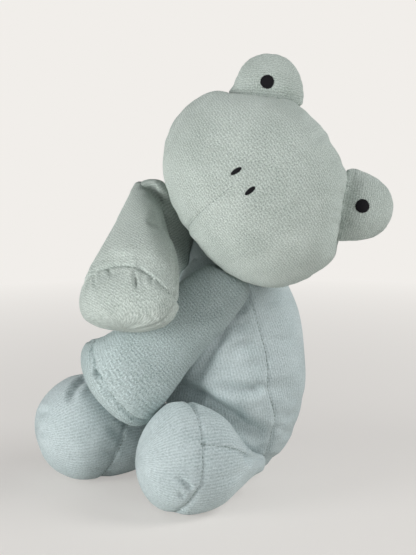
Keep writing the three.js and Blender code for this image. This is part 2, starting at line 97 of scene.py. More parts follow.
# %% [markdown]
# A node tree reads like a recipe when each node is added with its settings and links in one call, so one
# small function does that for every material, for the world and for the Geometry Nodes trees. Colours are
# written as the hex values that one would pick on a screen, and one function turns them to linear light.


# %% Helpers for node trees and colours
def add(tree, kind, links=None, **settings):
    """A new node with its settings and its inputs. An input takes a value, an output of another node
    or a whole node, which stands for its first output."""
    node = tree.nodes.new(kind)
    set_all(node, **settings)
    for socket, source in (links or {}).items():
        if isinstance(source, bpy.types.Node):
            source = source.outputs[0]
        if isinstance(source, bpy.types.NodeSocket):
            tree.links.new(source, node.inputs[socket])
        else:
            node.inputs[socket].default_value = source
    return node


def linear(hex_color):
    values = [int(hex_color[i:i + 2], 16) / 255 for i in (1, 3, 5)]
    return (*[v / 12.92 if v <= 0.04045 else ((v + 0.055) / 1.055) ** 2.4 for v in values], 1.0)


def new_material(name, settings):
    material = bpy.data.materials.new(name)
    material.use_nodes = True
    shader = material.node_tree.nodes["Principled BSDF"]
    for socket, value in settings.items():
        shader.inputs[socket].default_value = value
    return material, material.node_tree, shader


def two_tone(tree, shader, share, light, dark, bump=None):
    """The shader's colour runs from dark to light with the share, and a bump can raise its surface."""
    tint = add(tree, "ShaderNodeMix", {"Factor": share, 6: linear(dark), 7: linear(light)}, data_type="RGBA")
    tree.links.new(tint.outputs[2], shader.inputs["Base Color"])
    if bump:
        tree.links.new(add(tree, "ShaderNodeBump", bump).outputs[0], shader.inputs["Normal"])


print("mid sage in linear light:", [round(v, 3) for v in linear("#b3beb7")])

# %% [markdown]
# The studio is a pale floor, a pale surround and three soft lamps. Velour shows its pile best when the
# light rakes across it, so the key stands low to the left of the camera. A weak lamp beside the camera
# opens the shade behind the head, and one high on the right lifts the frog's back, as the window does in
# the photograph. The surround that the camera sees is white, but it lights the frog with less, so the
# folds keep their shade.

# %% Floor, world and lamps
FLOOR_SIZE = 12
PALE = linear("#f1eeea")
FROG_MIDDLE = Vector((0, -0.03, 0.13))
LAMP_WIDTH = 0.5
LAMPS = {  # each lamp's place and its watts
    "key": ((-0.02, -1.12, 0.22), 9.9), "side": ((1.10, 0.00, 0.30), 2.0), "high": ((0.60, 0.60, 0.80), 6.2),
}

scene.view_settings.view_transform = "Standard"
bpy.ops.mesh.primitive_plane_add(size=FLOOR_SIZE)
floor = bpy.context.object
floor.name = "studio_floor"
# Matt paper shows no glare, and away from the frog the camera sees it as bright as the surround.
paper, tree, shader = new_material("matt_paper", {"Base Color": linear("#e6e3df"), "Roughness": 0.9})
place = add(tree, "ShaderNodeTexCoord").outputs["Object"]
away = add(tree, "ShaderNodeVectorMath", {0: place}, operation="LENGTH").outputs["Value"]
fade = add(tree, "ShaderNodeMapRange", {
    "Value": away, "From Min": 0.15, "From Max": 0.9, "To Min": 0.45, "To Max": 1.0,
})
seen = add(tree, "ShaderNodeLightPath").outputs["Is Camera Ray"]
share = add(tree, "ShaderNodeMath", {0: fade, 1: seen}, operation="MULTIPLY")
bright = add(tree, "ShaderNodeEmission", {"Color": PALE, "Strength": 1.0})
sweep = add(tree, "ShaderNodeMixShader", {0: share, 1: shader, 2: bright})
tree.links.new(sweep.outputs[0], tree.nodes["Material Output"].inputs["Surface"])
floor.data.materials.append(paper)

scene.world = bpy.data.worlds.new("pale_studio")
scene.world.use_nodes = True
sky = scene.world.node_tree
sky.nodes.clear()
seen = add(sky, "ShaderNodeLightPath").outputs["Is Camera Ray"]
lighting = add(sky, "ShaderNodeBackground", {"Color": linear("#f4f4f6"), "Strength": 0.2})
backdrop = add(sky, "ShaderNodeBackground", {"Color": PALE, "Strength": 1.0})
choice = add(sky, "ShaderNodeMixShader", {0: seen, 1: lighting, 2: backdrop})
add(sky, "ShaderNodeOutputWorld", {"Surface": choice})

for name, (position, watts) in LAMPS.items():
    lamp = placed(name, bpy.data.lights.new(name, "AREA"))
    set_all(lamp.data, size=LAMP_WIDTH, energy=watts)
    lamp.location = position
    lamp.rotation_euler = (FROG_MIDDLE - lamp.location).to_track_quat("-Z", "Y").to_euler()
print("lamps:", list(LAMPS))

# %% [markdown]
# ## The forms
# A stuffed limb is a tube of cloth that swells and tapers along a line, with round ends. A loft says
# exactly that: a spine, two half sizes along it and the roundness of its section. The same numbers shaped
# the CAD solids, so each loft lies where its solid is. Blender's own curve bevel can't give two
# half sizes that change apart from each other, so the loft is made point by point.


# %% Spines and tables
def unit(vectors):
    return vectors / np.linalg.norm(vectors, axis=-1, keepdims=True)


def heading(turn, drop):
    turn, drop = math.radians(turn), math.radians(drop)
    return np.array([math.sin(turn) * math.cos(drop), -math.cos(turn) * math.cos(drop), -math.sin(drop)])


def share_at(table, along):
    """A smooth curve through the table's rows."""
    x, y = np.array(table, float).T
    last = len(x) - 1
    before, after = np.maximum(np.arange(last + 1) - 1, 0), np.minimum(np.arange(last + 1) + 1, last)
    slope = (y[after] - y[before]) / (x[after] - x[before])
    row = np.clip(np.searchsorted(x, along, side="right") - 1, 0, last - 1)
    t = np.clip((along - x[row]) / (x[row + 1] - x[row]), 0, 1)
    lean = t * (1 - t) ** 2 * slope[row] + t * t * (t - 1) * slope[row + 1]
    return y[row] + (y[row + 1] - y[row]) * t * t * (3 - 2 * t) + (x[row + 1] - x[row]) * lean


class Spine:
    """A line through points that knows how far along it each of them lies."""

    def __init__(self, points):
        self.points = np.array(points, float)
        self.run = np.concatenate([[0], np.cumsum(np.linalg.norm(np.diff(self.points, axis=0), axis=1))])
        self.length = self.run[-1]
        self.tangents = unit(np.gradient(self.points, self.run, axis=0))

    def read(self, rows, distance):
        return np.stack([np.interp(distance, self.run, column) for column in rows.T], axis=-1)

    def at(self, distance):
        return self.read(self.points, distance)

    def tangent(self, distance):
        return unit(self.read(self.tangents, distance))


def straight(start, end, count=120):
    return Spine(start + np.linspace(0, 1, count)[:, None] * (end - start))


def bent(start, corner, end, count=160):
    t = np.linspace(0, 1, count)[:, None]
    return Spine((1 - t) ** 2 * start + 2 * t * (1 - t) * corner + t * t * end)


def speed_at(before, here, after, knots):
    """How fast a smooth curve passes its middle corner."""
    first, middle, last = knots
    speed = (here - before) / (middle - first) - (after - before) / (last - first)
    return speed + (after - here) / (last - middle)


def through(corners, count=60):
    """A smooth spine through every corner."""
    ends = [2 * corners[0] - corners[1], *corners, 2 * corners[-1] - corners[-2]]
    points = []
    t = np.linspace(0, 1, count, endpoint=False)[:, None]
    for a, b, c, d in zip(ends, ends[1:], ends[2:], ends[3:]):
        knots = np.cumsum([0, *(np.linalg.norm(q - p) ** 0.5 for p, q in ((a, b), (b, c), (c, d)))])
        leave = speed_at(a, b, c, knots[:3]) * (knots[2] - knots[1])
        arrive = speed_at(b, c, d, knots[1:]) * (knots[2] - knots[1])
        points.append((2 * t**3 - 3 * t**2 + 1) * b + (t**3 - 2 * t**2 + t) * leave
                      + (3 * t**2 - 2 * t**3) * c + (t**3 - t**2) * arrive)
    return Spine(np.concatenate([*points, [corners[-1]]]))


print("a limb that turns and drops by 45 degrees points to", heading(45, 45).round(2).tolist())


# %% Lofted forms
CHUNK = 5000  # how many points are located at a time


def circle(count):
    return np.linspace(0, 2 * math.pi, count, endpoint=False)


def globe(rings, sides):
    """The tilt and the turn of each place on a globe's grid, without its poles."""
    tilt = np.linspace(-math.pi / 2, math.pi / 2, rings + 2)[1:-1]
    return np.repeat(tilt, sides), np.tile(circle(sides), rings)


def rounded(value, power):
    """A sine or cosine as a superellipse has it: power 2 is round, and more is squarer."""
    return np.sign(value) * np.abs(value) ** (2 / power)


class Loft:
    """A tube along a spine. Its half sizes are tables over the share of its length, and its two ends are
    domes of the given depths."""

    def __init__(self, spine, wide, widths, thicknesses, domes, power=2.0, end_power=2.0):
        self.spine, self.wide, self.power, self.end_power = spine, wide, power, end_power
        self.widths, self.thicknesses, self.domes = widths, thicknesses, domes
        self.length = spine.length

    def frame_at(self, distance):
        tangent = self.spine.tangent(distance)
        wide = unit(self.wide - tangent * (tangent @ self.wide)[..., None])
        return self.spine.at(distance), tangent, wide, np.cross(tangent, wide)

    def half_sizes(self, distance):
        along = np.clip(distance / self.length, 0, 1)
        return share_at(self.widths, along), share_at(self.thicknesses, along)

    def points(self, distance, angle, inset=0.0):
        middle, _, wide, thick = self.frame_at(distance)
        start, end = (dome - inset for dome in self.domes)
        short = np.minimum((distance - inset) / start, (self.length - inset - distance) / end)
        bluntness = np.where(distance > self.length / 2, self.end_power, 2.0)
        scale = np.clip(1 - (1 - np.clip(short, 0, 1)) ** bluntness, 0, 1) ** (1 / bluntness)
        half_width, half_thickness = self.half_sizes(distance)
        out = (half_width - inset) * scale * rounded(np.cos(angle), self.power)
        side = (half_thickness - inset) * scale * rounded(np.sin(angle), self.power)
        return middle + wide * out[..., None] + thick * side[..., None]

    def skin(self, inset, sides=48, dome_rings=9, run_rings=26):
        start, end = (dome - inset for dome in self.domes)
        bend = np.linspace(0, math.pi / 2, dome_rings + 1)[1:]
        rings = np.concatenate([
            inset + start * (1 - np.cos(bend)),
            np.linspace(self.domes[0], self.length - self.domes[1], run_rings + 1)[1:-1],
            (self.length - inset - end * (1 - np.cos(bend)))[::-1],
        ])
        grid = self.points(np.repeat(rings, sides), np.tile(circle(sides), len(rings)), inset)
        poles = self.spine.at(np.array([inset, self.length - inset]))
        return closed_grid(grid, len(rings), sides, poles)

    def locate(self, points):
        """How far along the spine each point lies, and at which angle round it."""
        distance = np.empty(len(points))
        for start in range(0, len(points), CHUNK):
            part = points[start:start + CHUNK]
            gaps = np.linalg.norm(part[:, None] - self.spine.points[None], axis=2)
            near = gaps.argmin(axis=1)
            ahead = ((part - self.spine.points[near]) * self.spine.tangents[near]).sum(axis=1)
            distance[start:start + CHUNK] = self.spine.run[near] + ahead
        middle, _, wide, thick = self.frame_at(distance)
        half_width, half_thickness = self.half_sizes(distance)
        arm = points - middle
        return distance, np.arctan2((arm * thick).sum(1) / half_thickness, (arm * wide).sum(1) / half_width)


def closed_grid(grid, rings, sides, poles):
    points = np.concatenate([grid, poles])
    faces = []
    first, last = rings * sides, rings * sides + 1
    for side in range(sides):
        after = (side + 1) % sides
        faces.append((first, after, side))
        faces.append((last, (rings - 1) * sides + side, (rings - 1) * sides + after))
        for ring in range(rings - 1):
            row, up = ring * sides, (ring + 1) * sides
            faces.append((row + side, row + after, up + after, up + side))
    return points, faces


print("the cosine of 45 degrees, on a circle and squarer:", [round(rounded(0.5**0.5, p), 2) for p in (2, 3)])

# %% [markdown]
# The head and the eye lobes are cushions instead: two panels sewn together round their outline, which
# bulge to the front and the back. Their outline and their bulge are superellipses, a little squarer than
# an ellipse, as a stuffed panel pair is.


# %% Cushion forms
def turned(degrees, axis):
    return Matrix.Rotation(math.radians(degrees), 4, axis)


def carried(points, place):
    """The points after the move and the turn that a matrix holds."""
    there = np.array(place)
    return points @ there[:3, :3].T + there[:3, 3]


class Cushion:
    """Two panels in the XZ plane of a place. They bulge to the front and to the back along its Y axis."""

    def __init__(self, place, halves, bulges, outline_power, depth_power):
        self.place, self.halves, self.bulges = place, halves, bulges
        self.outline_power, self.depth_power = outline_power, depth_power

    def local(self, points):
        return carried(points, self.place.inverted())

    def world(self, points):
        return carried(points, self.place)

    def skin(self, inset, sides=56, rings=29):
        tilt, turn = globe(rings, sides)
        angle = turn[::-1]
        spread = np.cos(tilt) ** (2 / self.depth_power)
        depth = np.where(tilt < 0, *self.bulges) - inset
        grid = np.stack([
            (self.halves[0] - inset) * spread * rounded(np.cos(angle), self.outline_power),
            depth * rounded(np.sin(tilt), self.depth_power),
            (self.halves[1] - inset) * spread * rounded(np.sin(angle), self.outline_power),
        ], axis=1)
        poles = np.array([[0, inset - self.bulges[0], 0], [0, self.bulges[1] - inset, 0]])
        points, faces = closed_grid(grid, rings, sides, poles)
        return self.world(points), faces


print("the X axis after 45 degrees round Z:", carried(np.array([1, 0, 0]), turned(45, "Z")).round(2).tolist())

# %% The frog's forms
FLAT = 0.5  # how deep the seat and the feet are pressed flat
UP = np.array([0.0, 0.0, 1.0])
BODY_HEIGHT, BODY_STOOP = 168, 15  # the body's top lies that far forward of its seat
BODY_SHARES = [(0, 0.5), (0.08, 0.6), (0.2, 0.82), (0.34, 0.97), (0.46, 1), (0.6, 0.95),
               (0.72, 0.82), (0.82, 0.65), (0.92, 0.46), (1, 0.34)]


def scaled(table, low, high):
    return [(along, low + (high - low) * share) for along, share in table]


pivot = {name: np.array(joint["pos_m"]) / MM for name, joint in hinges.items()}
body_top = np.array([4, -BODY_STOOP, BODY_HEIGHT - FLAT])
body_form = Loft(
    bent(np.array([0, 0, -FLAT]), np.array([0, 0, BODY_HEIGHT / 2]), body_top),
    np.array([1.0, 0, 0]), scaled(BODY_SHARES, 0, 43.5), scaled(BODY_SHARES, 0, 40.5), (26, 12), 2.15,
)

HEAD_HALVES = (61, 49)
EYE_SEAT, EYE_LEAN = 51, 48
SIDES = {"right": -1, "left": 1}
neck = pivot["neck_turn"]
head_turn = turned(51, "Z") @ turned(-10, "X") @ turned(53.5, "Y")
head_middle = Vector(neck) - head_turn @ Vector((0, 30, -30))
head_place = Matrix.Translation(head_middle) @ head_turn
head_form = Cushion(head_place, HEAD_HALVES, (39, 36), 2.25, 2.2)
eye_forms = {}
for side, sign in SIDES.items():
    lean = turned(sign * EYE_LEAN, "Y")
    root = Matrix.Translation(lean @ Vector((0, 0, EYE_SEAT)))
    eye_forms[side] = Cushion(head_place @ root @ lean, (20.5, 25.5), (9, 9), 2.3, 2.0)

FOOT = 33  # the half size of a foot
KNEE = 60  # how far before a leg's end it bends
LEFT_SHARES = [(0, 0), (0.2, 0.13), (0.32, 0.42), (0.46, 0.81), (0.6, 0.97), (0.7, 1), (1, 1)]
RIGHT_SHARES = [(0, 0), (0.2, 0.27), (0.45, 0.8), (0.65, 1), (1, 1)]


def leg_form(hip, turn, length, foot_turn, knee_drop, shares):
    end = hip + heading(turn, 0) * length
    end[2] = FOOT - FLAT
    knee = end - heading(foot_turn, 0) * KNEE - UP * knee_drop
    start = hip - unit(knee - hip) * 5
    across = np.cross(heading(foot_turn, 0), UP)
    return Loft(bent(start, knee, end), across, scaled(shares, 9, FOOT), scaled(shares, 8, FOOT), (8, 32))


leg_forms = {
    "left": leg_form(pivot["left_hip"], -2.1, 78.3, -15, 8, LEFT_SHARES),
    "right": leg_form(pivot["right_hip"], -17.1, 103.5, -5, 0, RIGHT_SHARES),
}

HAND_WIDTH, HAND_THICKNESS = 29.5, 17
ARM_SHARES = [(0, 0), (0.15, 0.42), (0.3, 0.62), (0.5, 0.82), (0.7, 1), (1, 1)]
FORE_SHARES = [(0, 0), (0.3, 0.4), (0.6, 0.82), (0.8, 1), (1, 1)]
left_aim = heading(-28, 43)
left_start = pivot["left_shoulder"] - left_aim * 6
left_wrist = pivot["left_shoulder"] + left_aim * 88
left_arm_form = Loft(
    through([left_start, (left_start + left_wrist) / 2, left_wrist, left_wrist + heading(-100, 8) * 34]),
    heading(141, 53), scaled(ARM_SHARES, 13, HAND_WIDTH), scaled(ARM_SHARES, 10, HAND_THICKNESS), (10, 20),
)
elbow = pivot["right_elbow"]
upper_aim, fore_aim = heading(14, -55), heading(49, 51)
fold_axis = unit(np.cross(fore_aim, upper_aim))
upper_form = Loft(
    straight(pivot["right_shoulder"] - upper_aim * 10, elbow + upper_aim * 6), fold_axis,
    [(0, 15), (0.4, 15), (0.8, 14.5), (1, 13)], [(0, 13), (0.4, 13.5), (0.75, 9.5), (1, 5)], (10, 5),
)
fore_form = Loft(
    straight(elbow - fore_aim * 6, elbow + fore_aim * 94.5), fold_axis,
    scaled(FORE_SHARES, 9.5, HAND_WIDTH), scaled(FORE_SHARES, 6, HAND_THICKNESS), (6, 20), end_power=2.5,
)
limbs = (left_arm_form, upper_form, fore_form, *leg_forms.values())
print("limb lengths in mm:", [round(form.length) for form in limbs])

# %% [markdown]
# ## Filling
# Stuffing pushes the cloth out until it is tight, while each seam holds it in. That is what Blender's
# Cloth does with pressure, so every form starts a little too small, as a mesh of even squares from a
# voxel remesh, with its seams pinned. Twenty frames with no gravity fill it. The move of every point
# is capped, so the frog keeps the outline of the photograph, and the result is written into the mesh.


# %% Meshes in and out
def make_object(name, points, faces, edges=()):
    mesh = bpy.data.meshes.new(name)
    mesh.from_pydata((np.asarray(points) * MM).tolist(), edges, faces)
    return placed(name, mesh)


def vectors(items, attribute):
    flat = np.empty(len(items) * 3, np.float32)
    items.foreach_get(attribute, flat)
    return flat.reshape(-1, 3).astype(float)


def points_of(mesh):
    return vectors(mesh.vertices, "co") / MM


def on_floor(points):
    """What lies below the floor is pressed flat on it."""
    return np.maximum(points, (-np.inf, -np.inf, 0))


def move_points(obj, points):
    obj.data.vertices.foreach_set("co", (points * MM).astype(np.float32).ravel())
    obj.data.update()


def settle(obj):
    """The object's modifiers are worked into its mesh and taken off."""
    evaluated = obj.evaluated_get(bpy.context.evaluated_depsgraph_get())
    mesh = bpy.data.meshes.new_from_object(evaluated)
    obj.modifiers.clear()
    obj.data = mesh


print("3 mm below the floor comes up to:", on_floor(np.array([0, 0, -3])).tolist())

# %% [markdown]
# Some places on the frog are no plain loft: the folded elbow, the plump corner of a hand, the straight root
# of an eye lobe. They could be sculpted, but a new size would then need new sculpting. Each of them is a
# function instead, which takes points and gives them back moved, along the form's own directions.


# %% Ways to bend a form
INNER_EDGE = [(-12, -10), (-6, -6), (0, -2), (8, 5), (16, 12.5), (26, 21), (36, 30)]  # along and across
TUCK_EDGE = [(-40, 16), (-12, 9), (6, 1.5)]
PUSHED_BACK = 0.9  # the share of what lies past an edge
PLUMP_SPOT = (28, -64, 61)


def bell(gap, width):
    return np.exp(-(gap / width) ** 2)


def ramp(past, reach):
    """Rises evenly from 0, where the reach begins, to 1 at its end."""
    return np.clip(past / reach, 0, 1)


def swell(points, spot, width):
    return bell(np.linalg.norm(points - spot, axis=1), width)


def past_edge(edge, along, out):
    return np.maximum(out - np.interp(along, *zip(*edge)), 0) * PUSHED_BACK


def inner_side(points):
    """How far towards the head each point of the folded arm lies."""
    return -(points - elbow) @ fold_axis


def elbow_fold(points):
    """The forearm lies folded over the upper arm: its inner top corner is cut off slantwise, and the
    inner half of the hand hangs a little lower."""
    along, inner = (points - elbow) @ fore_aim, inner_side(points)
    wider = 4 * ramp(along - 14, 30) * ramp(inner, 20)
    slimmer = 2.2 * ramp(along - 2, 10) + 2.2 * bell(along - 62, 11)
    aside = past_edge(INNER_EDGE, along, inner) - wider + slimmer * ramp(-inner, 14)
    hang = 4.5 * ramp(along - 55, 35) * np.clip(inner / 25, -0.6, 1)
    hang -= 4.5 * ramp(14 - along, 18) * np.clip(0.6 - inner / 14, 0, 1)
    return points + aside[:, None] * fold_axis + hang[:, None] * fore_aim


def elbow_tuck(points):
    """The tip of the upper arm hides behind the forearm that is folded over it."""
    along, outer = (points - elbow) @ upper_aim, (points - elbow) @ fold_axis
    return points - past_edge(TUCK_EDGE, along, outer)[:, None] * fold_axis


def hand_corner(points):
    """The stuffing of the left hand lies in its lower corner."""
    distance, around = left_arm_form.locate(points)
    _, _, wide, _ = left_arm_form.frame_at(distance)
    out = 4.5 * bell(distance - 104, 11) * np.clip(np.cos(around), 0, 1)
    return points + out[:, None] * wide


def facing_up(form, distance, around):
    """How far each place round a loft faces upwards, from -1 to 1."""
    _, _, wide, thick = form.frame_at(distance)
    return wide[:, 2] * np.cos(around) + thick[:, 2] * np.sin(around)


def instep(points):
    """The left leg dips before its root, its underside rises and its foot is plump below the hand."""
    form = leg_forms["left"]
    distance, around = form.locate(points)
    facing = facing_up(form, distance, around)
    rise = 2.4 * bell(distance - 48, 16) * np.clip(-facing, 0, 1)
    rise -= 2.0 * bell(distance - 15, 8) * np.clip(0.4 + facing, 0, 1)
    rise += 5.0 * swell(points, PLUMP_SPOT, 17)
    return points + rise[:, None] * UP


def skirt(side, flares, taller, lean):
    """The root of an eye lobe flares out where it is sewn to the head."""
    form = eye_forms[side]

    def reshape(points):
        flat = form.local(points)
        flat[:, 2] = np.maximum(flat[:, 2], -4)
        flat[:, 0] *= 1 + np.where(flat[:, 0] < 0, *flares) * np.exp(-np.abs(flat[:, 2]) / 4)
        flat[:, 0] -= lean * ramp(flat[:, 2], 25)
        flat[:, 2] *= taller
        return form.world(flat)
    return reshape


def eye_flats(points):
    """Flattens and thins the head where the straight roots of the eye lobes are sewn on."""
    forward = axis_of(head_place, 1)
    for form in eye_forms.values():
        local = form.local(points)
        points = points - np.maximum(local[:, 2] + 0.6, 0)[:, None] * axis_of(form.place, 2)
        near = np.exp(np.minimum(local[:, 2], 0) / 8) * ramp(30 - np.abs(local[:, 0]), 10)
        points = points - (0.42 * near * local[:, 1])[:, None] * forward
    return points


def axis_of(place, index):
    return np.array(place.to_3x3().col[index])


print("a bell and a ramp half way out:", round(bell(0.5, 1), 2), ramp(0.5, 1))

# %% Remesh every form
VOXEL = 4.0
LEFT_FOOT, RIGHT_FOOT, LEFT_HAND, RIGHT_HAND = 28, 40, 32.7, 30  # how far each cap's seam is from its end
SEAM_PIN = 2.6  # how far from its seam line the cloth is held
SEAM_FRONT = unit(np.array([0, -BODY_HEIGHT, -BODY_STOOP]))  # the way from the body's side seam to its front
SIDE_SEAM_PATH = [(0, -2), (29.5, -5), (38, -5.6), (48, -5.2), (58, -2.4), (66, -0.6), (73, -0.7),
                  (81, -0.9), (89, -0.4), (99, 1), (107, 1.9), (120, 3.7), (160, 6)]
HAND_SEAM_PATH = [(-30, 0), (-20, 2), (-8, 3), (4, 2), (14, -1.5), (22, -6.5), (30, -14)]


def body_gap(points):
    return points @ SEAM_FRONT - share_at(SIDE_SEAM_PATH, points[:, 2]) * ramp(points[:, 0], 12)


def panel_gap(form):
    return lambda points: form.local(points)[:, 1]


def cap_gap(form, cap, shift=lambda points: 0.0):
    """A cap's seam runs round the limb, and the shift moves it along the limb place by place."""
    return lambda points: form.length - cap - form.locate(points)[0] + shift(points)


COVERS = [  # each cover's form, its inset, what bends it and how far a point lies from its seam
    ("body_velour", body_form, 2.0, None, body_gap),
    ("head_velour", head_form, 1.8, eye_flats, panel_gap(head_form)),
    ("right_eye_velour", eye_forms["right"], 0.4, skirt("right", (0.24, 0.04), 1.0, 1.5),
     panel_gap(eye_forms["right"])),
    ("left_eye_velour", eye_forms["left"], 0.4, skirt("left", (0.12, 0.12), 1.06, 0),
     panel_gap(eye_forms["left"])),
    ("right_leg_velour", leg_forms["right"], 1.6, None,
     cap_gap(leg_forms["right"], RIGHT_FOOT, lambda points: -0.3 * points[:, 2])),
    ("left_leg_velour", leg_forms["left"], 1.6, instep,
     cap_gap(leg_forms["left"], LEFT_FOOT, lambda points: 5 * ramp(26 - points[:, 2], 20))),
    ("left_arm_velour", left_arm_form, 1.8, hand_corner, cap_gap(left_arm_form, LEFT_HAND)),
    ("right_upper_velour", upper_form, 1.0, elbow_tuck, lambda points: upper_form.locate(points)[0] - 8),
    ("right_forearm_velour", fore_form, 1.2, elbow_fold,
     cap_gap(fore_form, RIGHT_HAND, lambda points: -share_at(HAND_SEAM_PATH, inner_side(points)))),
]


def remeshed(name, form, inset, bend):
    points, faces = form.skin(inset)
    if bend:
        points = bend(points)
    if form in (body_form, *leg_forms.values()):
        points = on_floor(points)
    obj = make_object(name, points, faces)
    remesh = obj.modifiers.new("remesh", "REMESH")
    remesh.mode = "VOXEL"
    remesh.voxel_size = (VOXEL if form not in eye_forms.values() else VOXEL / 2) * MM
    settle(obj)
    return obj


covers = {name: remeshed(name, form, inset, bend) for name, form, inset, bend, _ in COVERS}
forms = {name: form for name, form, *_ in COVERS}
seams = {name: gap for name, *_, gap in COVERS}
print("points before filling:", {name: len(obj.data.vertices) for name, obj in covers.items()})

# %% Fill them with pressure
PRESSURE = 4.0
SLACK = 0.05  # how much more cloth there is than form
CAP = 3.0
FRAMES = 20
STAGE = 10  # the cloth solver is steadier on forms ten times as large
EYE_ROOT = 26  # half the width of an eye lobe's root, with the cloth that it holds


def at_eye_roots(name, points):
    """Where an eye lobe is sewn to the head, on either of them."""
    if name == "head_velour":
        spots = [form.local(points) for form in eye_forms.values()]
        return np.any([(spot[:, 2] > -2.5) & (np.abs(spot[:, 0]) < EYE_ROOT) for spot in spots], axis=0)
    if "eye" in name:
        return forms[name].local(points)[:, 2] < 1.5
    return np.zeros(len(points), bool)


def fill_all(objects):
    starts = {}
    for name, obj in objects.items():
        points = starts[name] = points_of(obj.data)
        held = (np.abs(seams[name](points)) < SEAM_PIN) | (points[:, 2] < 1.0)
        held |= at_eye_roots(name, points)
        group = obj.vertex_groups.new(name="held")
        group.add(np.flatnonzero(held).tolist(), 1.0, "REPLACE")
        move_points(obj, points * STAGE)
        cloth = obj.modifiers.new("stuffing", "CLOTH")
        set_all(cloth.settings, quality=5, vertex_group_mass="held", use_pressure=True,
                uniform_pressure_force=PRESSURE, shrink_min=-SLACK)
        cloth.settings.effector_weights.gravity = 0
        cloth.collision_settings.use_collision = False
    for step in range(1, FRAMES + 1):
        scene.frame_set(step)
    graph = bpy.context.evaluated_depsgraph_get()
    for name, obj in objects.items():
        start = starts[name]
        move = points_of(obj.evaluated_get(graph).data) / STAGE - start
        size = np.linalg.norm(move, axis=1)
        print(name, "moved by", [round(float(s), 1) for s in (size.mean(), size.max())], "mm: mean, most")
        obj.modifiers.clear()
        obj.vertex_groups.clear()
        move_points(obj, start + move * np.minimum(1, CAP / np.maximum(size, 1e-9))[:, None])
    scene.frame_set(1)


fill_all(covers)

# %% [markdown]
# ## Pressing the forms together
# Soft forms that touch flatten each other. Every smaller form is pressed out of the larger ones: a point
# that lies inside a neighbour moves to just outside its skin, at rest and at every place to which the
# hinge can swing the form. The sharp rim of the dent is relaxed, because stuffing can't hold one.
# A Boolean would leave a knife edge and a hole in the mesh, which no cloth has.

# %% Press, relax and subdivide
TOUCH = 0.35
AT_REST = [Matrix.Identity(4)]


def tree_of(mesh):
    return BVHTree.FromPolygons(points_of(mesh).tolist(), [tuple(p.vertices) for p in mesh.polygons])


def swings(name):
    """A hinge's turns at rest, half way and at its far limit."""
    joint, there = hinges[name], Matrix.Translation(Vector(pivot[name]))
    turns = [turned(joint["range_deg"][1] * share, Vector(joint["axis"])) for share in (0, 0.5, 1)]
    return [there @ turn @ there.inverted() for turn in turns]


def pressed(points, neighbour, turns):
    mesh_points, tree = neighbour
    low, high = mesh_points.min(axis=0) - TOUCH, mesh_points.max(axis=0) + TOUCH
    points, moved = points.copy(), np.zeros(len(points), bool)
    for turn in turns:
        swung = carried(points, turn)
        for index in np.flatnonzero(((swung > low) & (swung < high)).all(axis=1)):
            spot = Vector(swung[index])
            near, normal, _, _ = tree.find_nearest(spot)
            if (spot - near).dot(normal) < TOUCH:
                points[index] = turn.inverted() @ (near + normal * TOUCH)
                moved[index] = True
    return points, moved


def pressed_by_all(points, neighbours):
    moved = np.zeros(len(points), bool)
    for other, turns in neighbours.items():
        points, hit = pressed(points, trees[other], turns)
        moved |= hit
    return points, moved


def relaxed(mesh, points, mask, times):
    first, second = np.array([tuple(e.vertices) for e in mesh.edges]).T
    both_ways = ((first, second), (second, first))
    count = np.bincount(np.concatenate([first, second]), minlength=len(points))
    for _ in range(times):
        total = np.zeros_like(points)
        for here, there in both_ways:
            np.add.at(total, here, points[there])
        points = np.where(mask[:, None], 0.5 * points + 0.5 * total / count[:, None], points)
        grown = mask.copy()
        for here, there in both_ways:
            grown[here] |= mask[there]
        mask = grown
    return points


trees = {}
coarse = {}


def finish_cover(name, neighbours, relief, clear_in_motion=False):
    """Presses a cover out of its neighbours, each given with the turns at which they meet, smooths it
    and raises its relief. Cloth that slides over a neighbour is kept clear of it in every turn."""
    obj = covers[name]
    points, moved = pressed_by_all(points_of(obj.data), neighbours)
    if moved.any():
        points, _ = pressed_by_all(relaxed(obj.data, points, moved, 3), neighbours)
    move_points(obj, on_floor(points))
    coarse[name] = obj.data.copy()
    smooth = obj.modifiers.new("smooth", "SUBSURF")
    smooth.levels = smooth.render_levels = 2
    settle(obj)
    points, normals = points_of(obj.data), vectors(obj.data.vertices, "normal")
    points = points + normals * relief(points)[:, None]
    if not clear_in_motion:
        neighbours = {other: AT_REST for other in neighbours}
    points = on_floor(pressed_by_all(points, neighbours)[0])
    move_points(obj, points)
    obj.data.shade_smooth()
    trees[name] = (points, tree_of(obj.data))
    print(name, len(obj.data.polygons), "faces,", int(moved.sum()), "points pressed")

# %% [markdown]
# ## Seams, gathers and folds
# A machine seam pulls the cloth into a narrow valley with a soft roll on either side. Where a longer
# edge is eased onto a shorter one, as on the hand and foot caps, it puckers into short folds that run
# away from the seam. Folds in the photograph are drawn as lines on the skin. Each of these is a small
# change of height along the skin's normal, so it is real shape, not only bump.


# %% Heights
FAR = 40  # a gap at which a seam no longer shows
SEED_STEP = 7.3  # how far apart two seeds read the noise


def seam_relief(gap, depth=1.1, width=1.1, roll=0.45):
    return roll * bell(np.abs(gap) - 3.2, 2.2) - (depth + roll) * bell(gap, width)


def uneven(around, count, seed):
    """Uneven waves round a seam, from -1 to 1, which close on themselves after a full turn."""
    draw = np.random.default_rng(seed)
    waves = np.zeros_like(around)
    for k in range(-2, 3):
        waves += draw.uniform(0.5, 1.0) * np.cos((count + 2 * k) * around + draw.uniform(0, 2 * math.pi))
    return waves / 3


def puckers(around, count, seed, calm=0):
    return np.clip(uneven(around, count, seed) - calm, 0, 1)


def gather_relief(gap, around, count, depth, reach, seed):
    near = np.exp(-np.abs(gap) / reach) * (1 - 0.6 * bell(gap, 0.8))
    return -depth * near * puckers(around, count, seed, 0.1)


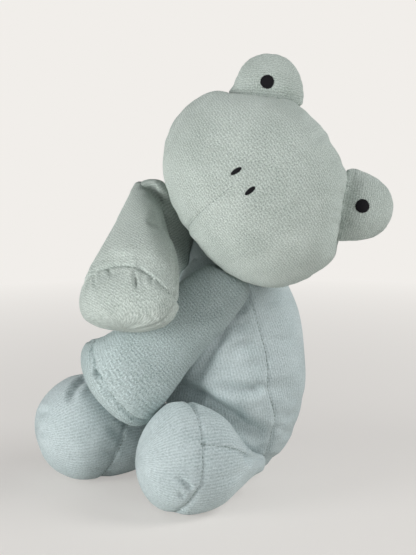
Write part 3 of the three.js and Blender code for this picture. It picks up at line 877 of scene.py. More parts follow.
def fold_relief(points, line, depth, width, rise):
    """A valley along a line on the skin. It fades at its ends, or starts at full depth if rise is 0."""
    line = np.array(line, float)
    steps = np.linalg.norm(np.diff(line, axis=0), axis=1)
    run, best = np.concatenate([[0], np.cumsum(steps)]), np.full(len(points), np.inf)
    where = np.zeros(len(points))
    for a, b, start, step in zip(line, line[1:], run, steps):
        t = np.clip((points - a) @ (b - a) / step**2, 0, 1)
        gap = np.linalg.norm(points - a - t[:, None] * (b - a), axis=1)
        where = np.where(gap < best, (start + t * step) / run[-1], where)
        best = np.minimum(best, gap)
    fade = np.interp(where, [0, max(rise, 0.01), 0.6, 1], [0.0 if rise else 1.0, 1, 0.85, 0])
    return depth * fade * (0.35 * bell(best - 1.9 * width, 1.1 * width) - bell(best, width))


def lumps(points, size, height, seed):
    """Slow unevenness of hand-filled stuffing."""
    return height * np.array([noise.noise(p) for p in (points / size + seed * SEED_STEP).tolist()])


def stuffed(points, gap, around, seam, gather, lump, folds=()):
    """What every stuffed cover has: a seam (depth, width, roll) with its gathers (count, depth, reach,
    seed), the lumps of its stuffing (size, height, seed) and its folds (line, depth, width, rise)."""
    height = seam_relief(gap, *seam) + gather_relief(gap, around, *gather) + lumps(points, *lump)
    for fold in folds:
        height += fold_relief(points, *fold)
    return height


def angle_from(around, zero):
    return np.angle(np.exp(1j * (around - zero)))


print("a seam's height on it and 3 mm beside it:", [round(float(seam_relief(gap)), 2) for gap in (0, 3)])

# %% [markdown]
# The body is a front and a back panel with a seam down each side. The left arm lies across the belly and
# presses it into folds that run to the seam. A simulation can't be told where they go, so each fold is
# drawn as a line of a few points on the skin.

# %% The body's cover
BELLY_FOLDS = [  # each fold's line, its depth, its width and the share of the line over which it starts
    ([(34.8, 1.5, 36.5), (35.5, -5.4, 37.5), (35.2, -15.1, 42), (33.8, -24.8, 49.5), (29, -32.8, 56),
      (22.4, -39.1, 61.5), (9.1, -43.3, 63.5), (-20, -40, 65)], 5.6, 4.8, 0.15),
    ([(41.4, -7, 66.9), (40.2, -17.7, 67.4), (35, -28.2, 68.5), (23.8, -38.6, 70)], 3.2, 3.2, 0.15),
    ([(37.2, -16, 107.8), (36.8, -21.3, 106.4), (34, -28, 104)], 2.2, 3.2, 0.3),
    ([(40.2, -12.5, 94.9), (39.3, -15.9, 94.5), (37.1, -24.1, 92.5), (33, -31, 90)], 1.9, 3.0, 0.25),
    ([(41.8, -6, 66.7), (41.4, 2.6, 66), (40.7, 11.8, 65), (37, 20, 65)], 1.2, 3.4, 0.15),
    ([(33.7, -16.7, 122), (32.6, -20.1, 116.2), (33.1, -26.5, 108.6), (30, -32.1, 98), (27.6, -37.4, 88),
      (21.4, -40.6, 77.6), (12.9, -42.6, 67)], 2.4, 3.6, 0),
    ([(33, 2, 37), (34.5, 9, 42), (36, 15, 50)], 0.8, 3.0, 0),
    ([(-38, -8, 60), (-34, -22, 62), (-20, -36, 60)], 2.0, 5.0, 0),
    ([(30, 20, 28), (34, 20, 45), (33, 22, 60)], 0.8, 5.0, 0.3),
]
GATHER_SPAN = 28  # the height over which the side seam's gathers run as far as 1 radian round a limb
# Each swell has a spot, a width and a height, and a hollow has a height below 0.
BELLY_SWELLS = [((-8, -39, 55), 15, 6), ((35, -14, 30), 14, -2.6), ((36, -5, 32), 7, -2.4)]


def body_relief(points):
    gap = seams["body_velour"](points)
    along = points[:, 2] / GATHER_SPAN
    height = stuffed(points, gap, along, (0.55, 0.8, 0.25), (14, 0.8, 7, 3), (34, 1.2, 1), BELLY_FOLDS)
    height += lumps(points, 13, 0.7, 8) * (gap > 0)
    height += 0.6 * seam_relief(np.where(points[:, 1] > 0, points[:, 0], FAR))
    for spot, width, rise in BELLY_SWELLS:
        height += rise * swell(points, spot, width)
    return height * ramp(points[:, 2], 6)


finish_cover("body_velour", {}, body_relief)

# %% [markdown]
# The head is a face panel and a back panel that are sewn round their outline, and a short dart shapes the
# chin. The eye lobes are sewn into the outline, and their roots pucker. Seam and dart are worked out in
# the cushion's own directions, so they stay on the panels' lines however the head is turned.

# %% The head's cover and the eye lobes
FACE_FOLDS = [
    ([(68.5, 12.5, 216.5), (74, 5, 214), (78.4, -3.4, 211.1), (79.3, -10.6, 208.5)], 0.8, 2.4, 0),
    ([(80.7, 12.6, 198.6), (80.5, 1.8, 204.1), (78.7, -6.2, 207.9)], 1.1, 9.0, 0.3),
    ([(41.2, -30.6, 239.5), (46.8, -25.6, 238.8), (53, -21, 236)], 0.8, 2.2, 0),
    ([(73.3, 19.8, 159.8), (74, 10, 155), (74, 0, 152)], 0.8, 2.6, 0),
]
CHIN_SIDE = 1.3  # how far the chin dart lies to the right of the middle
CHIN_TOP = -12  # the height on the face where the chin dart ends


def head_relief(points):
    local = head_form.local(points)
    gap, drop = local[:, 1], CHIN_TOP - local[:, 2]
    around = np.arctan2(local[:, 2] / HEAD_HALVES[1], local[:, 0] / HEAD_HALVES[0])
    height = stuffed(points, gap, around, (0.9, 1.1, 0.4), (30, 0.5, 6, 5), (40, 0.9, 2), FACE_FOLDS)
    chin = np.where((gap < 0) & (drop > 0), local[:, 0] + CHIN_SIDE, FAR)
    height += 0.55 * seam_relief(chin, 0.9, 0.9, 0.3) * ramp(drop, 12)
    height += 0.5 * seam_relief(np.where(gap > 0, local[:, 0], FAR))
    for form in eye_forms.values():
        spot = form.local(points)
        near = bell(spot[:, 2] + 1.5, 4.0) * ramp(EYE_ROOT - np.abs(spot[:, 0]), 4)
        height -= 0.6 * near * puckers(spot[:, 0] / 8, 5, 12)
    return height


def eye_relief(form):
    def relief(points):
        local = form.local(points)
        around = np.arctan2(local[:, 2], local[:, 0])
        height = stuffed(points, local[:, 1], around, (0.6, 0.7, 0.25), (22, 0.4, 3, 9), (14, 0.5, 4))
        root = np.exp(-np.clip(local[:, 2] - 0.5, 0, 99) / 3.0)
        return height - root * (0.5 + 1.1 * puckers(local[:, 0] / 7, 4, 11))
    return relief


neck_poses = [turn @ nod for turn in swings("neck_turn") for nod in swings("neck_nod")]
finish_cover("head_velour", {"body_velour": neck_poses}, head_relief, clear_in_motion=True)
for side, form in eye_forms.items():
    finish_cover(f"{side}_eye_velour", {}, eye_relief(form))

# %% [markdown]
# A leg is a sleeve whose root is pinched into the body's side seam, with a round foot cap at its end. The
# sleeve has a seam of its own, and gathers stand round the cap's seam and the root. One function makes
# both legs, and only the folds that the photograph shows are drawn one by one.

# %% The legs' covers
LEG_SIDE_SEAM = [(57, -59.5, 45.9), (58.6, -54.1, 44.7), (59.4, -46.1, 42.8), (57.6, -37.1, 39.1),
                 (51.9, -27.6, 33.6)]
LEG_FOLDS = {
    "left": [
        (LEG_SIDE_SEAM, 1.2, 1.0, 0),
        ([(45, -22, 37), (47.7, -24.2, 34.9), (50.3, -25.2, 31.6), (51.3, -25.1, 26.5), (51.7, -26, 22.6)],
         2.4, 1.8, 0.1),
        ([(45, -17.5, 26.3), (51.3, -26, 30), (58, -39.5, 35)], 1.8, 2.4, 0.15),
        ([(55.4, -27.1, 26.2), (62.5, -46, 25.7), (63.6, -58.3, 25.9)], 0.8, 3.0, 0.3),
        ([(53.7, -28.7, 40.2), (53.8, -39.5, 50.1), (50.4, -47.3, 56.2)], 0.7, 3.0, 0.3),
        ([(60.3, -69, 24), (59.8, -71, 26), (58.8, -73.5, 28.5), (57, -77, 31)], 1.8, 1.6, 0),
        ([(57.5, -71.5, 17.9), (56, -74.5, 21)], 1.1, 1.4, 0),
        ([(29.8, -53.3, 62.6), (41.9, -56.1, 61.1)], 1.0, 2.4, 0.3),
    ],
    "right": [
        ([(-45, -86, 62), (-42.6, -90.6, 60.9), (-39.1, -95.4, 57.9), (-34, -101, 53)], 3.0, 2.8, 0),
        ([(-29.5, -103.9, 22.5), (-21.3, -89.8, 18.7)], 0.9, 3.0, 0.3),
        ([(-19.7, -83.6, 40.8), (-17.2, -71.5, 32.7)], 1.0, 3.0, 0.3),
        ([(-58, -111, 43), (-50, -111, 45), (-42, -108, 47)], 1.6, 2.4, 0.3),
    ],
}
LEG_SEEDS = {"left": 21, "right": 24}
ON_SLEEVE_SEAM = {"left": (61.6, -47.5, 42.4), "right": (-75, -60, 30)}  # a spot on each sleeve's own seam
SLEEVE_RADIUS = 28


def leg_relief(side):
    form, seed = leg_forms[side], LEG_SEEDS[side]
    _, seam_angle = form.locate(np.array([ON_SLEEVE_SEAM[side]]))

    def relief(points):
        distance, around = form.locate(points)
        gap = seams[f"{side}_leg_velour"](points)
        gather, lump = (16, 1.4, 6, seed), (26, 1.2, seed)
        height = stuffed(points, gap, around, (0.6, 0.8, 0.35), gather, lump, LEG_FOLDS[side])
        sleeve = np.where(gap > 0, np.abs(angle_from(around, seam_angle)) * SLEEVE_RADIUS, FAR)
        height += seam_relief(sleeve, 0.9, 0.9, 0.35)
        height -= 1.8 * bell(distance - 24, 12) * puckers(around, 7, seed + 1)
        return height * np.clip(points[:, 2] / 6, 0.15, 1) * np.clip((distance - 3) / 9, 0.1, 1)
    return relief


for side in leg_forms:
    finish_cover(f"{side}_leg_velour", {"body_velour": swings(f"{side}_hip")}, leg_relief(side))

# %% [markdown]
# An arm's sleeve ends in a hand cap that is gathered into its seam, so short deep folds fan out over the
# hand. Uneven waves make most of them, and those that catch the eye in the photograph are drawn. The
# folded right arm has two covers, because its elbow is a sharp fold that opens like a hinge.

# %% The arms' covers
LEFT_HAND_FOLDS = [
    ([(-1.7, -96.7, 77.8), (3.9, -94.2, 76.3), (7.2, -92, 73.2), (10.7, -88.6, 70)], 3.2, 1.8, 0),
    ([(4.7, -91, 64.2), (9.7, -88.2, 62.6)], 0.9, 1.6, 0.3),
]
RIGHT_HAND_FOLDS = [
    ([(27, -88, 143.3), (24, -87, 146.5), (22.5, -86.7, 149.5)], 1.4, 1.3, 0),
    ([(30.9, -87.4, 142.5), (36, -89, 137), (40.5, -90.3, 131.6)], 2.8, 1.1, 0),
    ([(12.1, -95, 141.2), (17, -95.8, 139.5), (21.1, -96.1, 137.8)], 1.5, 1.2, 0),
    ([(6.3, -99.3, 135.8), (10.5, -101.8, 133), (14.6, -103, 130.8)], 1.9, 1.2, 0),
    ([(39.7, -82, 137.9), (43, -82.5, 133)], 1.3, 1.3, 0),
    ([(14.1, -89.1, 147.2), (23.9, -86.4, 145.3)], 1.0, 2.6, 0.3),
]
UPPER_ARM_HOLLOW = ([(-11, -60, 185), (-9, -57, 182.5), (-6.5, -52, 177), (-2, -42, 168)], 6.5, 4.5, 0)
ARM_RADIUS = 22


def arm_relief(name, seed, valley, depth, folds):
    def relief(points):
        distance, around = forms[name].locate(points)
        gap = seams[name](points)
        gather, lump = (18, depth, 6.5, seed), (26, 0.9, seed)
        height = stuffed(points, gap, around, (valley, 0.9, 0.35), gather, lump, folds)
        under = np.abs(angle_from(around, math.pi)) * ARM_RADIUS
        height += 0.5 * seam_relief(under, 0.9, 1.0, 0.3)
        return height * np.clip((distance - 4) / 14, 0.1, 1)
    return relief


def upper_relief(points):
    return lumps(points, 18, 0.7, 6) + np.minimum(fold_relief(points, *UPPER_ARM_HOLLOW), 0)


arm_turns, upper_turns = swings("left_shoulder"), swings("right_shoulder")
finish_cover(
    "left_arm_velour",
    {name: arm_turns for name in ("body_velour", "left_leg_velour", "right_leg_velour", "head_velour")},
    arm_relief("left_arm_velour", 31, 1.5, 0.6, LEFT_HAND_FOLDS),
)
finish_cover("right_upper_velour", {"body_velour": upper_turns, "head_velour": upper_turns}, upper_relief)
finish_cover(
    "right_forearm_velour",
    {"head_velour": AT_REST, "left_arm_velour": [turn.inverted() for turn in arm_turns]},
    arm_relief("right_forearm_velour", 36, 0.8, 1.2, RIGHT_HAND_FOLDS),
)

# %% [markdown]
# The gathered neck hides between the head and the body. It is a small ball drawn in by its thread, so it
# is a lathe shape with pleats that run from pole to pole.

# %% The neck
NECK_RADIUS, PLEAT_DEPTH = 13.6, 0.9
PLEATS = 14
NECK_RINGS, NECK_SIDES = 15, 112
tilt, turn = globe(NECK_RINGS, NECK_SIDES)
radius = NECK_RADIUS - PLEAT_DEPTH * (0.5 - 0.5 * np.cos(PLEATS * turn)) * np.cos(tilt)
grid = np.stack([radius * np.cos(tilt) * np.cos(turn), radius * np.cos(tilt) * np.sin(turn),
                 radius * np.sin(tilt)], axis=1) + neck
poles = np.array([neck - (0, 0, NECK_RADIUS), neck + (0, 0, NECK_RADIUS)])
covers["neck_velour"] = make_object("neck_velour", *closed_grid(grid, NECK_RINGS, NECK_SIDES, poles))
covers["neck_velour"].data.shade_smooth()
print("neck pleats:", PLEATS)

# %% [markdown]
# ## Embroidery
# Pupils and nostrils are satin stitch: black rayon threads laid side by side across the shape until they
# cover it. A small Geometry Nodes tree draws one thread as a line, repeats it along the shape with the
# chord of an ellipse as its length, domes the patch and gives each line its round section. The patch is
# then laid on the finished skin, point by point, so it follows the curve of the stuffed face.


# %% Tools for stitch trees
def stitch_tree(name, sizes):
    tree = bpy.data.node_groups.new(name, "GeometryNodeTree")
    tree.interface.new_socket("Geometry", in_out="OUTPUT", socket_type="NodeSocketGeometry")
    for label in ("Geometry", *sizes, "Material"):
        kind = "Float" if label in sizes else label
        tree.interface.new_socket(label, in_out="INPUT", socket_type=f"NodeSocket{kind}")
    return tree, add(tree, "NodeGroupInput").outputs


def end_tree(tree, geometry, sizes):
    whole = add(tree, "GeometryNodeRealizeInstances", {0: geometry})
    dyed = add(tree, "GeometryNodeSetMaterial", {"Geometry": whole, "Material": sizes["Material"]})
    add(tree, "NodeGroupOutput", {0: dyed})
    print(tree.name, "has", len(tree.nodes), "nodes")


def run_tree(obj, tree, values):
    modifier = obj.modifiers.new(tree.name, "NODES")
    modifier.node_group = tree
    for item in tree.interface.items_tree:
        if item.in_out == "INPUT" and item.name in values:
            modifier[item.identifier] = values[item.name]
    settle(obj)


# %% The satin stitch tree
COVERED = 0.94  # the share of the length that threads can cover, since the last chords are too short
satin, sizes = stitch_tree("satin_patch", ("Half Length", "Half Width", "Spacing", "Thread", "Dome"))
half = add(satin, "ShaderNodeMath", {0: sizes["Half Length"], 1: COVERED}, operation="MULTIPLY")
whole = add(satin, "ShaderNodeMath", {0: half, 1: 2.0}, operation="MULTIPLY")
rows = add(satin, "ShaderNodeMath", {0: whole, 1: sizes["Spacing"]}, operation="DIVIDE")
back = add(satin, "ShaderNodeMath", {0: half, 1: -1.0}, operation="MULTIPLY")
row_line = add(satin, "GeometryNodeMeshLine", {
    "Count": rows, "Start Location": add(satin, "ShaderNodeCombineXYZ", {"X": back}),
    "Offset": add(satin, "ShaderNodeCombineXYZ", {"X": half}),
}, mode="END_POINTS")
thread_line = add(satin, "GeometryNodeCurvePrimitiveLine", {"Start": (0, -1, 0), "End": (0, 1, 0)})
thread_points = add(satin, "GeometryNodeResampleCurve", {"Curve": thread_line, "Count": 9})

spot = add(satin, "ShaderNodeSeparateXYZ", {0: add(satin, "GeometryNodeInputPosition")}).outputs
room = 1.0
for axis, half_size in (("X", sizes["Half Length"]), ("Y", sizes["Half Width"])):
    share = add(satin, "ShaderNodeMath", {0: spot[axis], 1: half_size}, operation="DIVIDE")
    square = add(satin, "ShaderNodeMath", {0: share, 1: 2.0}, operation="POWER")
    room = add(satin, "ShaderNodeMath", {0: room, 1: square}, operation="SUBTRACT")
    if axis == "X":
        chord = add(satin, "ShaderNodeMath", {0: room}, operation="SQRT")
ragged = add(satin, "FunctionNodeRandomValue", {"Min": 0.93, "Max": 1.06, "Seed": 7}, data_type="FLOAT")
chord = add(satin, "ShaderNodeMath", {0: chord, 1: sizes["Half Width"]}, operation="MULTIPLY")
length = add(satin, "ShaderNodeMath", {0: chord, 1: ragged.outputs[1]}, operation="MULTIPLY")
threads = add(satin, "GeometryNodeInstanceOnPoints", {
    "Points": row_line, "Instance": thread_points,
    "Scale": add(satin, "ShaderNodeCombineXYZ", {"X": 1.0, "Y": length, "Z": 1.0}),
})
lines = add(satin, "GeometryNodeRealizeInstances", {0: threads})

left = add(satin, "ShaderNodeMath", {0: room, 1: 0.0}, operation="MAXIMUM")
arch = add(satin, "ShaderNodeMath", {0: left}, operation="SQRT")
lift = add(satin, "ShaderNodeMath", {0: arch, 1: sizes["Dome"]}, operation="MULTIPLY")
domed = add(satin, "GeometryNodeSetPosition", {
    "Geometry": lines, "Offset": add(satin, "ShaderNodeCombineXYZ", {"Z": lift}),
})
round_section = add(satin, "GeometryNodeCurvePrimitiveCircle", {"Resolution": 6, "Radius": sizes["Thread"]})
tubes = add(satin, "GeometryNodeCurveToMesh", {
    "Curve": domed, "Profile Curve": round_section, "Fill Caps": True,
})
end_tree(satin, tubes, sizes)


# %% Lay the embroidery on the skin
FACE_OUT = turned(90, "X")  # turns a patch's Z axis to the panel's front, -Y
PUPIL, PUPIL_PLACES = 3.8, {"right": (-0.8, 0, 6.7), "left": (0, 0, 9.4)}
NOSTRIL_SIDE, NOSTRIL_DROP, NOSTRIL_LEAN = 6.5, -4.5, 3
ROW_SPACING, THREAD_RADIUS, TWIST = 0.36, 0.24, 0.4
ABOVE_FACE = 70  # how far off the face the rays start


def thread_material(name, light, dark):
    material, tree, shader = new_material(name, {"Roughness": 0.62, "Specular IOR Level": 0.2})
    place = add(tree, "ShaderNodeTexCoord").outputs["Object"]
    twist = add(tree, "ShaderNodeTexNoise", {"Vector": place, "Scale": 1000 / TWIST, "Detail": 2.0})
    two_tone(tree, shader, twist.outputs["Fac"], light, dark)
    return material


# Rayon takes a deep dye and lies in fine twists, so the stitches look near black with a faint sheen.
black_rayon = thread_material("black_rayon_thread", "#1d1b21", "#0b0a0e")
# Cotton thread is matt. Its colour is a shade darker than the cloth, which paints the shade of the stitch
# holes, so a seam shows only as fine dashes.
sage_cotton = thread_material("sage_sewing_thread", "#8d9c94", "#74827b")


def satin_patch(name, cover, place, half_length, half_width, dome):
    """A patch of satin stitch on the cover, where the place's own Z axis meets it."""
    obj = make_object(name, [(0, 0, 0)], [])
    run_tree(obj, satin, {
        "Half Length": half_length * MM, "Half Width": half_width * MM, "Spacing": ROW_SPACING * MM,
        "Thread": THREAD_RADIUS * MM, "Dome": dome * MM, "Material": black_rayon,
    })
    outward = place.to_3x3() @ Vector((0, 0, 1))
    points = points_of(obj.data)
    for index, point in enumerate(points):
        flat = place @ Vector((point[0], point[1], 0))
        hit = trees[cover][1].ray_cast(flat + outward * ABOVE_FACE, -outward)[0]
        points[index] = hit + outward * point[2]
    move_points(obj, points)
    obj.data.shade_smooth()
    return obj


embroidery = {}
for side, sign in SIDES.items():
    place = eye_forms[side].place @ Matrix.Translation(PUPIL_PLACES[side]) @ FACE_OUT
    name = f"{side}_pupil"
    embroidery[name] = satin_patch(f"{name}_satin", f"{side}_eye_velour", place, PUPIL, PUPIL, 0.45)
    place = head_place @ Matrix.Translation((sign * NOSTRIL_SIDE, 0, NOSTRIL_DROP)) @ FACE_OUT
    place = place @ turned(90 + sign * NOSTRIL_LEAN, "Z")
    name = f"{side}_nostril"
    embroidery[name] = satin_patch(f"{name}_satin", "head_velour", place, 3.25, 1.2, 0.35)
print("embroidery:", {node: len(obj.data.polygons) for node, obj in embroidery.items()})

# %% [markdown]
# ## Seam stitches
# At the seams the sewing thread shows as tiny dashes in the valley. Each seam's line is found on the
# finished skin by rays that are cast inwards in the plane of the seam. A second tree repeats one small
# stitch along that line at the machine's stitch length.

# %% The stitch row tree
row_tree, sizes = stitch_tree("stitch_row", ("Spacing", "Stitch Length", "Thread"))
path = add(row_tree, "GeometryNodeMeshToCurve", {"Mesh": sizes["Geometry"]})
spaced = add(row_tree, "GeometryNodeResampleCurve", {"Curve": path, "Length": sizes["Spacing"]},
             mode="LENGTH")
stitch = add(row_tree, "GeometryNodeMeshUVSphere", {"Segments": 6, "Rings": 4, "Radius": 1.0})
onwards = add(row_tree, "GeometryNodeInputTangent")
lie = add(row_tree, "FunctionNodeAlignRotationToVector", {"Vector": onwards}, axis="Z")
half_stitch = add(row_tree, "ShaderNodeMath", {0: sizes["Stitch Length"], 1: 0.5}, operation="MULTIPLY")
thread = sizes["Thread"]
row_of = add(row_tree, "GeometryNodeInstanceOnPoints", {
    "Points": spaced, "Instance": stitch, "Rotation": lie,
    "Scale": add(row_tree, "ShaderNodeCombineXYZ", {"X": thread, "Y": thread, "Z": half_stitch}),
})
end_tree(row_tree, row_of, sizes)


# %% Seam lines on the skin
OUTSIDE = 90  # how far off a seam's middle the rays start
STITCH_EVERY, STITCH_LENGTH, STITCH_THREAD = 2.6, 1.9, 0.19
STITCH_FACES = 24


def first_hit(cover, start, way):
    return trees[cover][1].ray_cast(Vector(start), Vector(-way))[0]


def seam_line(cover, middle, directions, keep=lambda hit: True, aside=None):
    """Where rays that come in along the directions meet the cover, as runs of points. Where the seam
    leaves the plane of the rays, each ray is moved aside by the gap that its first hit has from it."""
    runs, run = [], []
    for way in directions:
        start = middle + way * OUTSIDE
        hit = first_hit(cover, start, way)
        if hit is not None and aside is not None:
            hit = first_hit(cover, start + aside * seams[cover](np.array(hit)[None])[0], way)
        if hit is not None and keep(np.array(hit)):
            run.append(np.array(hit))
        elif run:
            runs, run = [*runs, run], []
    return [r for r in [*runs, run] if len(r) > 2]


def fan(first, second, start=0, stop=360, count=120):
    angles = np.radians(np.linspace(start, stop, count))
    return [unit(first * math.cos(a) + second * math.sin(a)) for a in angles]


def cap_seam(cover, cap):
    form = forms[cover]
    middle, tangent, wide, thick = (v[0] for v in form.frame_at(np.array([form.length - cap])))
    return seam_line(cover, middle, fan(wide, thick), aside=tangent)


def skin_line(cover, path):
    steps = np.linspace(0, len(path) - 1, 40)
    spots = np.stack([np.interp(steps, range(len(path)), column) for column in np.array(path).T], axis=1)
    return [np.array(trees[cover][1].find_nearest(Vector(spot))[0]) for spot in spots]


def clear_of_eyes(hit):
    spots = [form.local(hit[None])[0] for form in eye_forms.values()]
    return all(spot[2] < -1.5 or abs(spot[0]) > 21 for spot in spots)


def in_the_open(hit):
    """Neither under the seat nor inside the neck."""
    return 4 < hit[2] < 160


body_middle = np.array([0, -BODY_STOOP / 2, BODY_HEIGHT / 2])
body_up = unit(np.array([0, -BODY_STOOP, BODY_HEIGHT]))
body_rays = fan(np.array([1.0, 0, 0]), body_up, -90, 270)
head_side, head_front, head_up = (axis_of(head_place, index) for index in range(3))
head_center = np.array(head_middle)
chin_center = head_center - head_side * CHIN_SIDE
seam_lines = {
    "body": seam_line("body_velour", body_middle, body_rays, in_the_open, -SEAM_FRONT),
    "head": [
        *seam_line("head_velour", head_center, fan(head_side, head_up), clear_of_eyes),
        *seam_line("head_velour", chin_center, fan(-head_up, -head_front, 12, 74, 40)),
    ],
    "left_arm": cap_seam("left_arm_velour", LEFT_HAND),
    "right_forearm": cap_seam("right_forearm_velour", RIGHT_HAND),
    "left_leg": [*cap_seam("left_leg_velour", LEFT_FOOT), skin_line("left_leg_velour", LEG_SIDE_SEAM)],
    "right_leg": cap_seam("right_leg_velour", RIGHT_FOOT),
}
for side, form in eye_forms.items():
    middle = np.array(form.place.translation) + axis_of(form.place, 2) * 8
    rays = fan(axis_of(form.place, 0), axis_of(form.place, 2), -20, 200, 60)
    seam_lines["head"] += seam_line(f"{side}_eye_velour", middle, rays)

stitches = {}
for part, runs in seam_lines.items():
    points = [p for run in runs for p in run]
    starts = np.cumsum([0, *(len(run) for run in runs)])
    edges = [(i, i + 1) for a, b in zip(starts, starts[1:]) for i in range(a, b - 1)]
    stitches[part] = make_object(f"{part}_stitches", points, [], edges)
    run_tree(stitches[part], row_tree, {
        "Spacing": STITCH_EVERY * MM, "Stitch Length": STITCH_LENGTH * MM, "Thread": STITCH_THREAD * MM,
        "Material": sage_cotton,
    })
print("stitches:", {part: len(obj.data.polygons) // STITCH_FACES for part, obj in stitches.items()})

# %% [markdown]
# ## Stuffing and beans
# Inside every cover lies its filling: loose polyester fibre, and in the seat a pouch of plastic beans that
# gives the toy its weight. They can't be seen, so each is the coarse cover moved inwards, kept clear of
# the finished skin even under the deep folds. The seat's part is cut off level and becomes the pouch.

# %% Fillings
POUCH_TOP = 20.0
POUCH_GAP = 0.4
INSIDE = 4.0  # how far each filling stays inside its cover
PASSES = 4
FILLED = ("body", "head", "right_eye", "left_eye", "left_arm", "right_upper", "right_forearm", "left_leg",
          "right_leg")
FILLINGS = {f"{part}_filling": f"{part}_velour" for part in FILLED}


def stuffing(node, cover):
    mesh = coarse[cover]
    points = points_of(mesh) - vectors(mesh.vertices, "normal") * INSIDE
    tree = trees[cover][1]
    for _ in range(PASSES):
        for index, spot in enumerate(points):
            near, normal, _, _ = tree.find_nearest(Vector(spot))
            if (Vector(spot) - near).dot(normal) > -INSIDE:
                points[index] = near - normal * INSIDE
    obj = placed(f"{node}_fibre", mesh)
    move_points(obj, points)
    return obj


def cut_level(obj, height, keep_above):
    cut = bmesh.new()
    cut.from_mesh(obj.data)
    bmesh.ops.bisect_plane(
        cut, geom=[*cut.verts, *cut.edges, *cut.faces], plane_co=(0, 0, height * MM), plane_no=(0, 0, 1),
        clear_inner=keep_above, clear_outer=not keep_above,
    )
    bmesh.ops.holes_fill(cut, edges=cut.edges)
    cut.to_mesh(obj.data)
    cut.free()


fillings = {node: stuffing(node, cover) for node, cover in FILLINGS.items()}
pouch = placed("bean_pouch", fillings["body_filling"].data.copy())
cut_level(pouch, POUCH_TOP - POUCH_GAP, keep_above=False)
cut_level(fillings["body_filling"], POUCH_TOP, keep_above=True)
print("fillings:", len(fillings), "and a pouch of", round(pouch.dimensions.z / MM), "mm")

# %% [markdown]
# ## Velour
# The cloth is a weft-knitted polyester velour: loops on its back, and a cut pile on its face that
# is brushed flat. Its grain is laid in fine wales of about 1.1 mm, which show as faint diagonal lines. At
# this picture's scale they are narrower than two pixels, so they are drawn 1.7 mm apart. Pile scatters
# light towards its edges, which is what the sheen of the shader is for, and patches that lean another
# way are a little darker. The pattern reads the cover's own "cloth" attribute, so it bends with the cloth.

# %% Cloth coordinates
BODY_RADIUS, LIMB_RADIUS = 40.0, 26.0
BIAS = 0.7
BACK_PANEL = 300.0  # how far from the front panel's the back panel's pattern is read


def form_top(form):
    _, _, _, thick = form.frame_at(np.array([form.length / 2]))
    return math.copysign(math.pi / 2, thick[0, 2])


def on_cushion(form, points):
    """Unrolled from each panel's middle, so its rim isn't streaked."""
    local = form.local(points)
    reach = np.maximum(np.hypot(local[:, 0], local[:, 2]), 0.1)
    arc = np.arctan2(reach, np.abs(local[:, 1])) * np.linalg.norm(local, axis=1)
    panel = np.where(local[:, 1] > 0, BACK_PANEL, 0.0)
    return np.stack([local[:, 0] * arc / reach, local[:, 2] * arc / reach, panel], axis=1)


def on_loft(name, form, points):
    distance, around = form.locate(points)
    if "leg" in name:  # the pattern closes under the foot
        around = angle_from(around, form_top(form))
    if name == "right_forearm_velour":  # cut on the bias, so its grain runs as it does on the face
        distance = distance + BIAS * LIMB_RADIUS * around
    radius = BODY_RADIUS if form is body_form else LIMB_RADIUS
    return np.stack([around * radius, distance, 0 * distance], axis=1)


def cloth_coordinates(name, obj):
    flat, form = points_of(obj.data), forms.get(name)
    if isinstance(form, Cushion):
        flat = on_cushion(form, flat)
    elif form is not None:
        flat = on_loft(name, form, flat)
    layer = obj.data.attributes.new("cloth", "FLOAT_VECTOR", "POINT")
    layer.data.foreach_set("vector", (flat * MM).astype(np.float32).ravel())


for name, obj in covers.items():
    cloth_coordinates(name, obj)
print("covers with cloth coordinates:", len(covers))


# %% The velour material
WALE = 1.7  # spacing that still shows; the real one is about 1.1
WAVES_PER_METRE = 444.0  # the scale at which diagonal waves are 1 mm apart
NAP = 30.0


def velour(name, light, dark, turn, grain, soft):
    """The wales run by the turn in degrees, the grain is a tuft's size in mm, and soft makes tufts faint."""
    material, tree, shader = new_material(name, {
        "Roughness": 0.92, "Specular IOR Level": 0.15, "Sheen Weight": 0.3, "Sheen Roughness": 0.4,
        "Sheen Tint": linear("#dfe8e3"),
    })
    cloth = add(tree, "ShaderNodeAttribute", attribute_name="cloth").outputs["Vector"]
    straightened = add(tree, "ShaderNodeMapping", {"Vector": cloth, "Rotation": (0, 0, math.radians(turn))})
    wales = add(tree, "ShaderNodeTexWave", {
        "Vector": straightened, "Scale": WAVES_PER_METRE / WALE, "Distortion": 3.0, "Detail": 3.0,
        "Detail Scale": 2.0,
    }, bands_direction="DIAGONAL").outputs["Fac"]
    pile = add(tree, "ShaderNodeTexNoise", {
        "Vector": cloth, "Scale": 1000 / grain, "Detail": 2.0, "Roughness": 0.75,
    }).outputs["Fac"]
    nap = add(tree, "ShaderNodeTexNoise", {
        "Vector": cloth, "Scale": 1000 / NAP, "Detail": 4.0, "Distortion": 0.8,
    }).outputs["Fac"]
    tuft = add(tree, "ShaderNodeMapRange", {"Value": pile, "From Min": 0.5 - soft, "From Max": 0.5 + soft})
    streak = add(tree, "ShaderNodeMath", {0: wales, 1: 0.22}, operation="MULTIPLY")
    speck = add(tree, "ShaderNodeMath", {0: tuft, 1: 0.6, 2: streak}, operation="MULTIPLY_ADD")
    lean = add(tree, "ShaderNodeMath", {0: nap, 1: 0.5, 2: speck}, operation="MULTIPLY_ADD")
    shade = add(tree, "ShaderNodeMapRange", {"Value": lean, "From Min": 0.1, "From Max": 1.2})
    two_tone(tree, shader, shade, light, dark, {"Height": speck, "Strength": 0.7, "Distance": 0.0005})
    return material


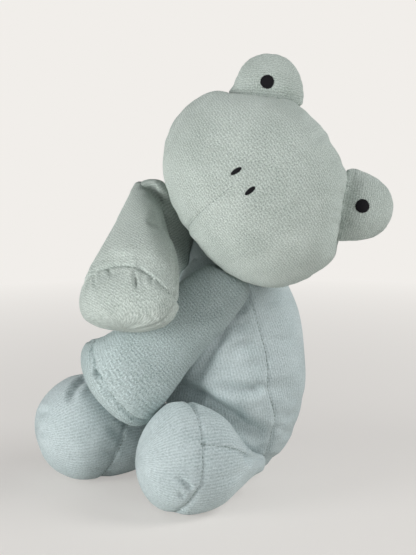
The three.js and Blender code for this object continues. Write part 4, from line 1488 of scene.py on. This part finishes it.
def loose_stuff(name, light, dark, grain, rough):
    material, tree, shader = new_material(name, {"Roughness": rough})
    place = add(tree, "ShaderNodeTexCoord").outputs["Object"]
    clump = add(tree, "ShaderNodeTexNoise", {"Vector": place, "Scale": 1000 / grain, "Detail": 3.0})
    two_tone(tree, shader, clump.outputs["Fac"], light, dark,
             {"Height": clump.outputs["Fac"], "Strength": 0.6, "Distance": 0.001})
    return material


# Carded fibre is white and matt, in soft clumps. Moulded beans are off-white with a waxy gloss.
fibre = loose_stuff("carded_polyester_fibre", "#f0efec", "#dcdad6", grain=2.0, rough=0.95)
beans = loose_stuff("polyethylene_beans", "#e8e6e0", "#c9c6be", grain=3.0, rough=0.5)
# One cloth in three tints with painted light and shade, each with its own run of the wales.
velours = {
    "sage_velour": velour("knitted_velour_sage", "#e9f2ec", "#7d8c84", turn=-45, grain=0.85, soft=0.13),
    # Painted light: the same cloth drawn paler for the lit body and legs.
    "pale_velour": velour("knitted_velour_lit_tint", "#e4eff1", "#849696", turn=35, grain=1.0, soft=0.24),
    # Painted shade: the same cloth drawn darker for the shaded left arm and neck.
    "shaded_velour": velour("knitted_velour_shaded", "#dae8e8", "#738685", turn=-42, grain=0.78, soft=0.12),
}
print("velours:", list(velours))

# %% [markdown]
# ## What each cover stands for
# Every cover replaces its CAD panels and takes their material slot. A limb that is sewn to the body can't
# swing as one rigid piece, because its root stays in the seam, so its cover and filling are not attached
# to any body and stay where they lie. The other covers and fillings, the embroidery and the stitches
# move with their body.

# %% Dress the frog
RIDES = {  # each cover's body, its slot, the CAD pieces that it replaces and how full it is
    "body_velour": ("torso", "pale_velour", ["body_front_panel", "body_back_panel"], 0.75),
    "head_velour": ("head", "sage_velour", ["face_panel", "head_back_panel"], 0.85),
    "right_eye_velour": ("head", "sage_velour", ["right_eye_cover"], 0.6),
    "left_eye_velour": ("head", "sage_velour", ["left_eye_cover"], 0.6),
    "right_leg_velour": ("right_leg", "pale_velour", ["right_leg_sleeve", "right_foot_cap"], 0.75),
    "left_leg_velour": ("left_leg", "pale_velour", ["left_leg_sleeve", "left_foot_cap"], 0.75),
    "left_arm_velour": ("left_arm", "shaded_velour", ["left_arm_sleeve", "left_hand_cap"], 0.6),
    "right_upper_velour": ("right_arm", "sage_velour", ["right_upper_sleeve"], 0.5),
    "right_forearm_velour": ("right_forearm", "sage_velour", ["right_forearm_sleeve", "right_hand_cap"], 0.6),
    "neck_velour": ("neck", "shaded_velour", ["neck_gather"], 0.6),
}
ROOTS = {  # the joint of each sewn root, the way its limb leaves it and how far the blend reaches
    "right_leg": ("right_hip", heading(-17, 0), 26), "left_leg": ("left_hip", heading(10, 0), 26),
    "left_arm": ("left_shoulder", left_aim, 20), "right_arm": ("right_shoulder", upper_aim, 18),
}


def attach(obj, body):
    if body in ROOTS:
        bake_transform(obj)
    else:
        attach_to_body(obj, body)


def clothe(obj, material):
    obj.data.materials.clear()
    obj.data.materials.append(material)
    obj.data.shade_smooth()


for name, (body, slot, nodes, fill) in RIDES.items():
    obj = covers[name]
    clothe(obj, velours[slot])
    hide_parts(*nodes)
    attach(obj, body)
for node, obj in (*fillings.items(), ("seat_bean_pouch", pouch)):
    body, _, _, _ = RIDES[FILLINGS.get(node, "body_velour")]
    slot = "beans" if obj is pouch else "filling"
    clothe(obj, beans if obj is pouch else fibre)
    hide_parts(node)
    attach(obj, body)
for node, obj in embroidery.items():
    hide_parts(node)
    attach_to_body(obj, "head")
for part, obj in stitches.items():
    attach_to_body(obj, "torso" if part == "body" else part)
print("dressed:", len(RIDES), "covers,", len(fillings) + 1, "fillings,", len(stitches), "rows of stitches")
